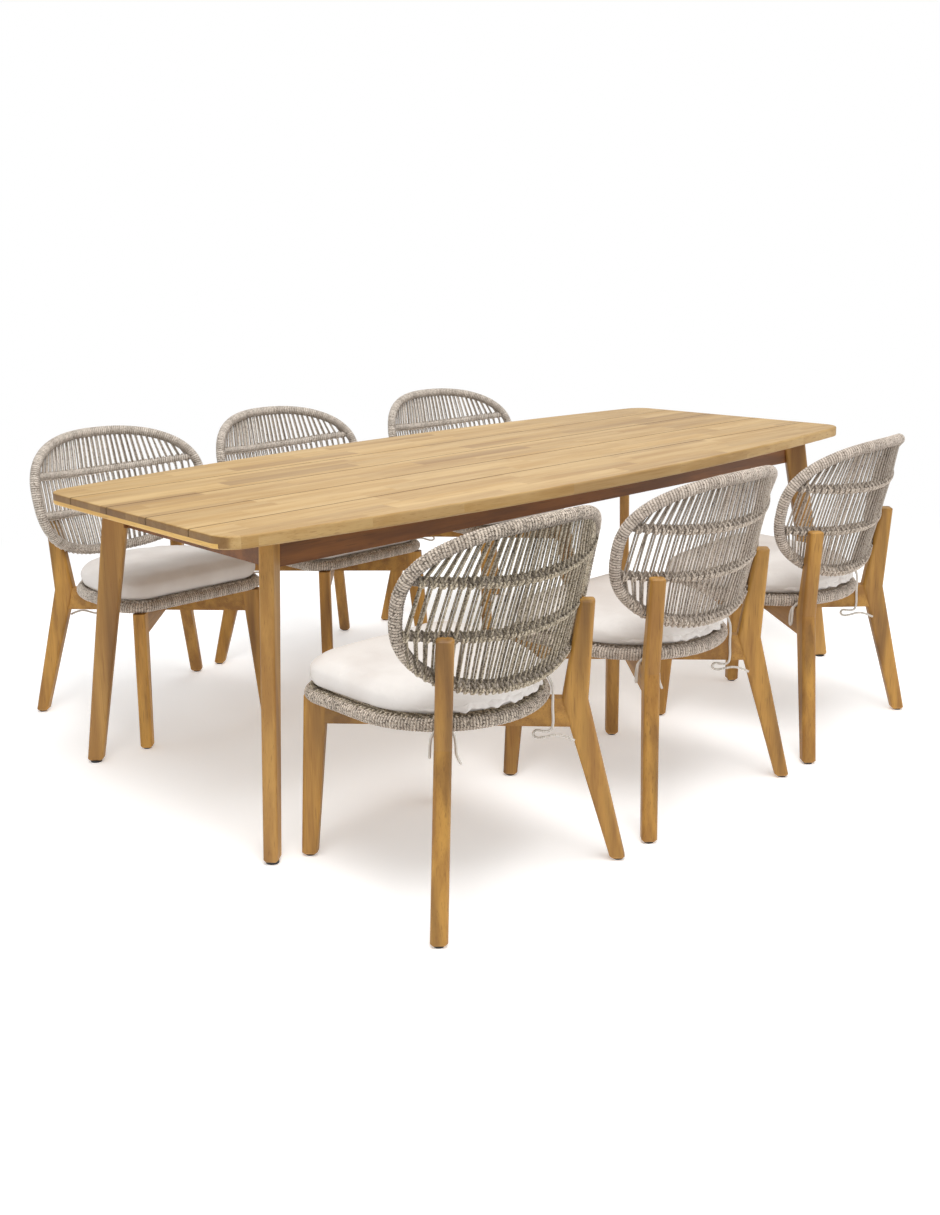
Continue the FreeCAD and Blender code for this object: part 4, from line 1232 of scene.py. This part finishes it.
@dataclass
class Cushion:
    """The filled seat cushion, simulated once and laid on every chair.

    Attributes:
        seat: The seat that it lies on.
        voxel: The size of the shell's cells.
        frames: How many frames the cloth runs for.
        limit: How far a point may move.
        slump: The height of each of the top's five waves.
        lean: How much the top rises in front, and how much it falls at the back.
        tuck: How far the side is drawn in under the seam.
        extent: How far round the back the seam runs, in radians from straight behind.
        lip_level: How far above the base the seam's lip lies.
        lip_reach: About how far the lip stands out of the side.
        lip_drop: Half its height.
        points: The filled cushion's points, once it is filled.
        faces: Its faces.
    """

    seat: Seat
    voxel: float = 0.0065
    frames: int = 14
    limit: float = 0.007
    slump: float = 0.0009
    lean: float = 0.008
    tuck: float = 0.005
    extent: float = 1.05
    lip_level: float = 0.017
    lip_reach: float = 0.005
    lip_drop: float = 0.0085
    points: np.ndarray = field(default_factory=lambda: np.zeros((0, 3)))
    faces: list[tuple[int, ...]] = field(default_factory=list)

    def fill(self) -> None:
        """Blow the pillow up under pressure, so that its sides and its top bulge."""
        shell = linked("pillow_shell", smooth_mesh("pillow_shell", *self.seat.pillow()))
        even = shell.modifiers.new("even", "REMESH")
        even.mode = "VOXEL"
        even.voxel_size = self.voxel
        self._apply(shell)
        self._simulate(shell)
        self.points = mesh_points(shell.data)
        self.faces = [tuple(face.vertices) for face in shell.data.polygons]
        bpy.data.objects.remove(shell)

    @staticmethod
    def _apply(shell: bpy.types.Object) -> None:
        """Bake an object's modifiers into its mesh.

        Args:
            shell: The object.
        """
        graph = bpy.context.evaluated_depsgraph_get()
        baked = bpy.data.meshes.new_from_object(shell.evaluated_get(graph))
        shell.modifiers.clear()
        shell.data = baked

    def _simulate(self, shell: bpy.types.Object) -> None:
        """Run the cloth, then ease each point's movement so that nothing leaves the pad.

        A point moves no further than the limit, and one near the base never goes down.

        Args:
            shell: The pillow's shell.
        """
        start = mesh_points(shell.data)
        cloth = shell.modifiers.new("cloth", "CLOTH")
        for name, value in CLOTH_SETTINGS.items():
            setattr(cloth.settings, name, value)
        cloth.settings.effector_weights.gravity = 0.0
        cloth.collision_settings.use_collision = False
        cloth.point_cache.frame_start = 1
        cloth.point_cache.frame_end = self.frames
        for number in range(1, self.frames + 1):
            bpy.context.scene.frame_set(number)
            bpy.context.view_layer.update()
        self._apply(shell)
        bpy.context.scene.frame_set(1)
        move = mesh_points(shell.data) - start
        length = np.linalg.norm(move, axis=1, keepdims=True)
        move = move * np.where(length > self.limit, self.limit / np.maximum(length, 1e-9), 1.0)
        move[:, 2] = np.where(start[:, 2] < self.seat.cushion_base + 0.012,
                              np.maximum(move[:, 2], 0.0), move[:, 2])
        shell.data.vertices.foreach_set("co", (start + move).reshape(-1))

    def shaped(self, seed: int) -> np.ndarray:
        """The cushion's points with this chair's own slumps and creases.

        The top rises and falls by a sum of five sines and is higher in front than at the back,
        and the side is drawn in at the back by a bell curve under the seam.

        Args:
            seed: Seed of this cushion's irregularities.

        Returns:
            The points.
        """
        random = np.random.default_rng(seed)
        x, y, z = self.points.T
        base = self.seat.cushion_base
        share = np.clip((z - base) / (self.seat.cushion_top - base), 0, 1.3)
        slump = np.zeros_like(z)
        for _ in range(5):
            wave = random.normal(0, 9, 2)
            slump = slump + np.sin(wave[0] * x + wave[1] * y + random.uniform(0, 6.3))
        z = z + share * (self.slump * slump + self.lean * np.clip(y / 0.2, 0, 1))
        z = z - share * self.lean * np.clip((0.02 - y) / 0.22, 0, 1)
        rear = np.clip((-y - 0.03) / 0.1, 0, 1)
        tuck = rear * np.exp(-((share - 0.22) / 0.14) ** 2) * self.tuck
        out = np.stack([x, y - self.seat.turn_y], axis=1)
        out = out / np.maximum(np.linalg.norm(out, axis=1, keepdims=True), 1e-6)
        return np.stack([x - out[:, 0] * tuck, y - out[:, 1] * tuck, z], axis=1)

    def _side(self, along: np.ndarray) -> np.ndarray:
        """How far the cushion's side is from the centre of its rounded back.

        The widest point is taken in each of 54 slices of a belt a third of the way up.

        Args:
            along: Angles about that centre, from straight behind.

        Returns:
            The distances.
        """
        x, y, z = self.points.T
        base, tall = self.seat.cushion_base, self.seat.cushion_top - self.seat.cushion_base
        belt = (np.abs(z - base - 0.35 * tall) < 0.008) & (y < self.seat.turn_y)
        x, ahead = x[belt], self.seat.turn_y - y[belt]
        radius = np.hypot(x, ahead)
        edges = np.linspace(-1.62, 1.62, 55)
        slices = np.digitize(np.arctan2(x, ahead), edges)
        widest = np.array([radius[slices == k].max(initial=0.0) for k in range(1, len(edges))])
        middles = (edges[:-1] + edges[1:]) / 2
        return np.interp(along, middles[widest > 0], widest[widest > 0])

    def seam(self, seed: int) -> Surface:
        """The puckered zip flap round the back of the cushion.

        Its section is a small lip that leaves the cushion's side, folds down and tucks back
        in. Along the seam the lip rises, falls and reaches out by a sum of sines, and it fades
        out towards both ends.

        Args:
            seed: Seed of the puckers.

        Returns:
            The surface.
        """
        random = np.random.default_rng(seed + 300)
        along = np.linspace(-self.extent, self.extent, 260)[:, None]
        pucker, lift = np.zeros_like(along), np.zeros_like(along)
        for wavelength, strength in ((0.055, 1.0), (0.034, 0.8), (0.019, 0.5)):
            waves = along * self.seat.half_width * 2 * np.pi / wavelength
            pucker = pucker + strength * np.sin(waves + random.uniform(0, 6.3))
            lift = lift + strength * np.sin(waves * 0.83 + random.uniform(0, 6.3))
        fade = np.clip((self.extent - np.abs(along)) / 0.4, 0, 1)
        turn = np.linspace(0, 2 * np.pi, 11)[None, :-1]
        reach = (self.lip_reach + 0.0014 * pucker) * (0.2 + np.cos(turn))
        drop = self.lip_drop * np.sin(turn) - 0.0025 * np.cos(2 * turn)
        out = self._side(along) - 0.004 + fade * reach
        level = self.seat.cushion_base + self.lip_level + 0.0022 * lift + fade * drop
        points = np.stack([out * np.sin(along), self.seat.turn_y - out * np.cos(along), level],
                          axis=-1).reshape(-1, 3)
        faces = grid_faces(along.size, turn.size, False)
        return Surface(points, faces, np.zeros((len(faces) * 4, 2)), np.ones(len(points)))


LAP_Y = 0.0257  # the y at which the crossed rails meet under the seat
CORD_DIAMETER = 0.006


@dataclass
class Tie:
    """A cushion cord: its route about the rear leg, then the seat's frame.

    Attributes:
        name: Which one it is.
        side: 1 on the chair's right, -1 on its left.
        length: The cord's length.
        route: Steps outwards along the rail, across it and up, in millimetres.
    """

    name: str
    side: int
    length: float
    route: list[tuple[float, float, float]]

    def points(self) -> np.ndarray:
        """The route in the chair's frame, turned from the rail's own two directions.

        Returns:
            The points.
        """
        u, w, z = np.array(self.route).T / 1000
        cosine, sine = math.cos(RAIL_TURN), math.sin(RAIL_TURN)
        return np.stack([self.side * (u * cosine + w * sine), LAP_Y - u * sine + w * cosine, z],
                        axis=1)


TIES = (
    Tie("right", 1, 0.265, [
        (232.3, -19, 432), (241, -20, 421), (245, -21, 396), (243, -20, 362),
        (245, -21, 330), (241, -22, 309), (224, -23, 307), (206, -22, 311), (199, -23, 300),
        (210, -24, 292), (228, -25, 296), (248, -26, 302), (270, -25, 299), (290, -26, 289)]),
    Tie("left", -1, 0.308, [
        (232.3, -19, 432), (241, -20, 421), (245.5, -19, 405), (247, -9, 390), (248, 8, 388),
        (247, 21, 381), (245, 25, 362), (246, 26, 344), (254, 27, 334), (263, 26, 344),
        (262, 25, 366), (257, 21, 386), (256, 7, 397), (256, -9, 398), (255, -24, 386),
        (252, -27, 362), (249, -27, 343), (243, -31, 326), (237, -37, 314)]))


@dataclass
class Chair:
    """One chair: rope work, cushion and ties laid on the frame's wooden legs.

    Attributes:
        place: Where it stands.
        back: Its back.
        seat: Its seat.
        cushion: The filled cushion.
        rope: The strands' material.
        wrap: The wound rope's material.
        cloth: The cushion's material.
        cord: The ties' material.
    """

    place: ChairPlace
    back: Back
    seat: Seat
    cushion: Cushion
    rope: bpy.types.Material
    wrap: bpy.types.Material
    cloth: bpy.types.Material
    cord: bpy.types.Material

    @property
    def seed(self) -> int:
        """A number of this chair's own, for its irregularities."""
        return 11 + 7 * LETTERS.index(self.place.letter)

    def node(self, name: str) -> str:
        """The frame's name of one of this chair's pieces."""
        return "chair_%s_%s" % (self.place.letter, name)

    def stand_for(self, piece: bpy.types.Object, node: str) -> None:
        """Let a piece stand for one of the frame's nodes and ride on this chair.

        Args:
            piece: The piece.
            node: The end of the node's name.
        """
        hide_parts(self.node(node))
        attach(piece, "chair_" + self.place.letter)
        LOG.info("%s stands for %s", piece.name, self.node(node))

    def add(self, name: str, shape: Surface, finish: bpy.types.Material, node: str,
            slot: str = "rope") -> None:
        """Make one piece that stands for a node of the frame.

        Args:
            name: The end of the piece's name.
            shape: Its surface in the chair's own frame.
            finish: Its material.
            node: The node that it replaces.
            slot: The record's material slot; not used.
        """
        placed = Surface(self.place.put(shape.points), shape.faces, shape.uv, shape.tone)
        piece = placed.piece(self.node(name))
        piece.data.materials.append(finish)
        self.stand_for(piece, node)

    def build(self) -> None:
        """Dress the whole chair."""
        self._rope_work()
        self._lay_cushion()
        for tie in TIES:
            self._tie(tie)

    def _rope_work(self) -> None:
        """The wound hoop, bars and ring, and the strands knotted between them."""
        wound = Surface.joined([self.back.wound_hoop()]
                               + [self.back.wound_bar(level) for level in self.back.bar_levels])
        self.add("wound_back", wound, self.wrap, "back_frame")
        self.add("wound_ring", self.seat.wound_ring(self.back), self.wrap, "seat_ring")
        strands = Surface.joined([self.back.strands(self.seed), self.back.knots(self.seed)])
        self.add("back_strands", strands, self.rope, "rope_webs")
        weave = Surface.joined([self.seat.web(), self.seat.loops(self.seed)])
        self.add("seat_strands", weave, self.rope, "rope_webs")

    def _lay_cushion(self) -> None:
        """The cushion, smoothed once, and its seam."""
        name = self.node("filled_cushion")
        points = self.place.put(self.cushion.shaped(self.seed))
        piece = linked(name, smooth_mesh(name, points, self.cushion.faces))
        piece.data.materials.append(self.cloth)
        fine = piece.modifiers.new("fine", "SUBSURF")
        fine.levels = fine.render_levels = 1
        self.stand_for(piece, "cushion")
        self.add("cushion_seam", self.cushion.seam(self.seed), self.cloth, "cushion",
                 "cushion_cloth")

    def _tie(self, tie: Tie) -> None:
        """One cord as a smooth spline through its route.

        Args:
            tie: The cord.
        """
        curve = bpy.data.curves.new(self.node(tie.name + "_tie"), "CURVE")
        curve.dimensions = "3D"
        curve.resolution_u = 8
        curve.bevel_depth = CORD_DIAMETER / 2
        curve.bevel_resolution = 2
        curve.use_fill_caps = True
        spline = curve.splines.new("NURBS")
        route = self.place.put(tie.points())
        spline.points.add(len(route) - 1)
        spline.points.foreach_set("co", np.column_stack([route, np.ones(len(route))]).ravel())
        spline.order_u = 3
        spline.use_endpoint_u = True
        curve.materials.append(self.cord)
        piece = linked(curve.name, curve)
        self.stand_for(piece, "ties")


# ------------------------------------------------------------------ the whole set


@dataclass
class Studio:
    """A plain pale floor, soft light and the camera.

    Attributes:
        eye: Where the camera stands.
        yaw: How far it is turned to the right of +Y, in radians.
        pitch: How far it looks down.
        roll: How far it leans.
        lens: Its focal length in millimetres, for a sensor 36 mm wide.
        shift: The lens's shift.
        lamps: Each light's name, place, power in watts and width.
        aim: Where the lights point.
        glow: How strongly the world lights the set.
        half_floor: Half the floor's side.
        fade: How far from the middle the floor begins to fade, and where it is plain white.
    """

    eye: tuple[float, float, float] = (-2.561, -2.7227, 1.3126)
    yaw: float = 0.7158
    pitch: float = 0.2067
    roll: float = -0.0245
    lens: float = 38.905
    shift: tuple[float, float] = (0.0246, -0.0631)
    lamps: tuple = (("key", (-1.3, -1.7, 5.0), 195.0, 2.8),
                    ("fill", (3.0, 2.6, 4.0), 50.0, 4.0),
                    ("side", (3.0, -4.4, 1.7), 34.0, 3.0))
    aim: tuple[float, float, float] = (0.0, 0.0, 0.4)
    glow: float = 0.62
    half_floor: float = 20.0
    fade: tuple[float, float] = (1.6, 3.4)

    def place_camera(self) -> None:
        """Stand the camera where it sees the set from the front left corner."""
        ahead = Vector((math.sin(self.yaw) * math.cos(self.pitch),
                        math.cos(self.yaw) * math.cos(self.pitch), -math.sin(self.pitch)))
        level = Vector((math.cos(self.yaw), -math.sin(self.yaw), 0.0))
        above = level.cross(ahead)
        right = math.cos(self.roll) * level + math.sin(self.roll) * above
        above = -math.sin(self.roll) * level + math.cos(self.roll) * above
        data = bpy.data.cameras.new("camera")
        data.lens = self.lens
        data.sensor_width = 36.0
        data.shift_x, data.shift_y = self.shift
        data.clip_end = 60.0
        camera = linked("camera", data)
        turned = Matrix((right, above, -ahead)).transposed().to_4x4()
        camera.matrix_world = Matrix.Translation(self.eye) @ turned
        bpy.context.scene.camera = camera

    def light(self) -> None:
        """Three soft area lights, in a world that glows softly and looks white."""
        for name, place, power, size in self.lamps:
            data = bpy.data.lights.new(name, "AREA")
            data.energy, data.size = power, size
            lamp = linked(name, data)
            lamp.location = place
            lamp.rotation_euler = (Vector(self.aim) - Vector(place)).to_track_quat(
                "-Z", "Y").to_euler()
        graph = Graph(bpy.data.worlds.new("studio"))
        rays = graph.node("ShaderNodeLightPath").outputs["Is Camera Ray"]
        glow, white = (graph.node("ShaderNodeBackground", s0=WHITE, s1=strength).outputs[0]
                       for strength in (self.glow, 1.0))
        choose = graph.node("ShaderNodeMixShader", s0=rays, s1=glow, s2=white)
        graph.plug(graph.output.inputs[0], choose.outputs[0])
        bpy.context.scene.world = graph.owner
        bpy.context.scene.view_settings.view_transform = "Standard"

    def floor(self) -> None:
        """A white floor that keeps the set's soft shadow and fades to plain white far off."""
        corners = np.array([(-1, -1, 0), (1, -1, 0), (1, 1, 0), (-1, 1, 0)]) * self.half_floor
        graph = Graph(bpy.data.materials.new("floor_white"))
        graph.fill(graph.shader, Base_Color=(0.92, 0.92, 0.92, 1.0), Roughness=0.9,
                   Specular_IOR_Level=0.1, Emission_Color=WHITE, Emission_Strength=0.3)
        away = graph.node("ShaderNodeVectorMath", {"operation": "LENGTH"}, s0=graph.place())
        white = graph.node("ShaderNodeEmission", Color=WHITE)
        blend = graph.node("ShaderNodeMixShader",
                           s0=graph.ramp(away.outputs["Value"], *self.fade),
                           s1=graph.shader.outputs[0], s2=white.outputs[0])
        graph.plug(graph.output.inputs[0], blend.outputs[0])
        piece = linked("studio_floor", smooth_mesh("studio_floor", corners, [(0, 1, 2, 3)]))
        piece.data.materials.append(graph.owner)
        piece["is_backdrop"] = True


LEG_TONES = tones((184, 136, 58), (150, 104, 40), (86, 54, 18))
APRON = WoodFinish("apron_wood", *tones((134, 84, 34), (106, 64, 24), (60, 34, 10)),
                   Grain.ALONG_X, figure=12.0)
TABLE_WOODS = {
    "table_top_planks": WoodFinish(
        "top_wood", *tones((194, 163, 110), (177, 141, 82), (126, 88, 42)), Grain.ALONG_X, 0.5,
        (0.42, 0.062), spread=0.6, end_grain_and_highlight=(0.5, 0.42, 0.32), streak=0.45, joints=0.0935),
    "table_end_battens": WoodFinish(
        "batten_wood", *tones((226, 182, 100), (210, 163, 82), (150, 104, 44)), Grain.ALONG_Y,
        streak=0.4),
    "table_frame": APRON,
    "table_corner_blocks": APRON,
    "table_legs": WoodFinish(
        "table_leg_wood", *tones((182, 138, 70), (158, 114, 54), (106, 69, 28)), Grain.UPRIGHT,
        streak=0.7, figure=12.0)}
# The legs' end tone lightens and blues their ends: a painted highlight.
LEG_WOOD = WoodFinish("leg_wood", *LEG_TONES, Grain.UPRIGHT, end_grain_and_highlight=(1.3, 1.35, 1.6),
                      streak=0.65, figure=15.0)
# A lighter copy of the leg wood: painted light on the far row's front legs, where the table's
# shadow falls.
PAINTED_LIGHT_LEG_WOOD = WoodFinish("painted_light_leg_wood", *tones((212, 160, 74), (180, 130, 54),
                                                   (108, 70, 26)), Grain.UPRIGHT, streak=0.8,
                           figure=15.0)
# One rope in lit and shaded copies: painted shade on the near chair, painted light on the far
# row.
WOUND_ROPES = {
    Row.NEAR: RopeFinish("near_wound_rope_painted_shade", *tones((230, 216, 200), (180, 164, 146),
                                                   (66, 52, 38)), 0.5),
    Row.MIDDLE: RopeFinish("wound_rope", *tones((224, 210, 197), (194, 179, 163),
                                                (88, 72, 56)), 0.42),
    Row.FAR: RopeFinish("far_wound_rope_painted_light", *tones((232, 222, 210), (200, 187, 173),
                                                 (104, 89, 73)), 0.42)}
# Painted shade on the near chair's strands, painted light on the far row's.
BRAIDED_ROPES = {
    Row.NEAR: RopeFinish("near_braided_rope_painted_shade", *tones((224, 211, 190), (170, 154, 126),
                                                     (66, 52, 30)), 0.5),
    Row.MIDDLE: RopeFinish("braided_rope", *tones((224, 211, 198), (192, 176, 158),
                                                  (86, 71, 52)), 0.42),
    Row.FAR: RopeFinish("far_braided_rope_painted_light", *tones((236, 226, 214), (202, 188, 172),
                                                   (100, 85, 68)), 0.42)}
CORD = RopeFinish("tie_cord", *tones((222, 216, 208), (200, 193, 183), (160, 150, 136)), 0.2,
                  False)
CLOTH = ClothFinish("cushion_cloth", *tones((228, 223, 218), (216, 209, 203)))
# The near chair's back has the strongest painted shade, on its loops, strands and hoop.
BACKS = {Row.NEAR: Back(slant=1.0, depth=1.0, shade=0.85),
         Row.MIDDLE: Back(slant=0.4, depth=0.2), Row.FAR: Back()}


def dress(node: str, material: bpy.types.Material) -> None:
    """Give a material to one of the frame's own pieces.

    Args:
        node: The piece's name.
        material: The material.
    """
    mesh = frame["nodes"][node].data
    mesh.materials.clear()
    mesh.materials.append(material)
    LOG.info("%s wears %s", node, material.name)


@dataclass(frozen=True)
class Table:
    """The plank table, which keeps the frame's own meshes.

    Attributes:
        woods: The finish of each wooden piece.
        fixings: The finish of its glides and bolts.
    """

    woods: dict[str, WoodFinish]
    fixings: bpy.types.Material

    def build(self) -> None:
        """Dress the table."""
        for node, finish in self.woods.items():
            dress(node, finish.build())
        dress("table_fixings", self.fixings)


@dataclass
class DiningSet:
    """The table and its six chairs."""

    chairs: list[Chair] = field(default_factory=list)

    def build(self) -> None:
        """Build every chair and finish every piece of wood."""
        seat = Seat()
        cushion = Cushion(seat)
        cushion.fill()
        wound, braided = ({row: rope.build() for row, rope in ropes.items()}
                          for ropes in (WOUND_ROPES, BRAIDED_ROPES))
        cloth, cord = CLOTH.build(), CORD.build()
        for letter, row in ROWS.items():
            place = ChairPlace.read(letter, seat.ring_radius - seat.back)
            LOG.info("chair %s stands at %.4f, %.4f turned %.2f degrees", letter, place.x,
                     place.y, math.degrees(place.turn))
            chair = Chair(place, BACKS[row], seat, cushion, braided[row], wound[row], cloth,
                          cord)
            chair.build()
            self.chairs.append(chair)
        black = GlideFinish().build()
        Table(TABLE_WOODS, black).build()
        self._finish_chair_wood(black)

    def _finish_chair_wood(self, black: bpy.types.Material) -> None:
        """Give the chairs' legs and rails their woods, and their fixings the black.

        Args:
            black: The fixings' material.
        """
        upright, painted_light_upright = LEG_WOOD.build(), PAINTED_LIGHT_LEG_WOOD.build()
        for chair in self.chairs:
            far = ROWS[chair.place.letter] is Row.FAR
            rails = WoodFinish("rail_wood_" + chair.place.letter, *LEG_TONES, Grain.DIAGONAL,
                               turn=-chair.place.turn - RAIL_TURN)
            dress(chair.node("back_legs"), upright)
            # Painted light: the far row's front legs take the lighter copy, against the table's
            # shadow.
            dress(chair.node("front_legs"), painted_light_upright if far else upright)
            dress(chair.node("cross_rails"), rails.build())
            dress(chair.node("fixings"), black)


def plain(bounds: object) -> object:
    """Args:
        bounds: A number, a text, a dictionary or a sequence of such.

    Returns:
        The same in plain lists and dictionaries.
    """
    if isinstance(bounds, dict):
        return {key: plain(value) for key, value in bounds.items()}
    if isinstance(bounds, (int, float, str)) or bounds is None:
        return bounds
    return [plain(value) for value in bounds]


def main() -> None:
    """Dress the set, light it, and work out its size before and after."""
    logging.basicConfig(level=logging.INFO)
    DiningSet().build()
    studio = Studio()
    studio.floor()
    studio.light()
    studio.place_camera()
    {"cad": plain(CAD_BOX), "visual": plain(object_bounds())}


if __name__ == "__main__":
    main()
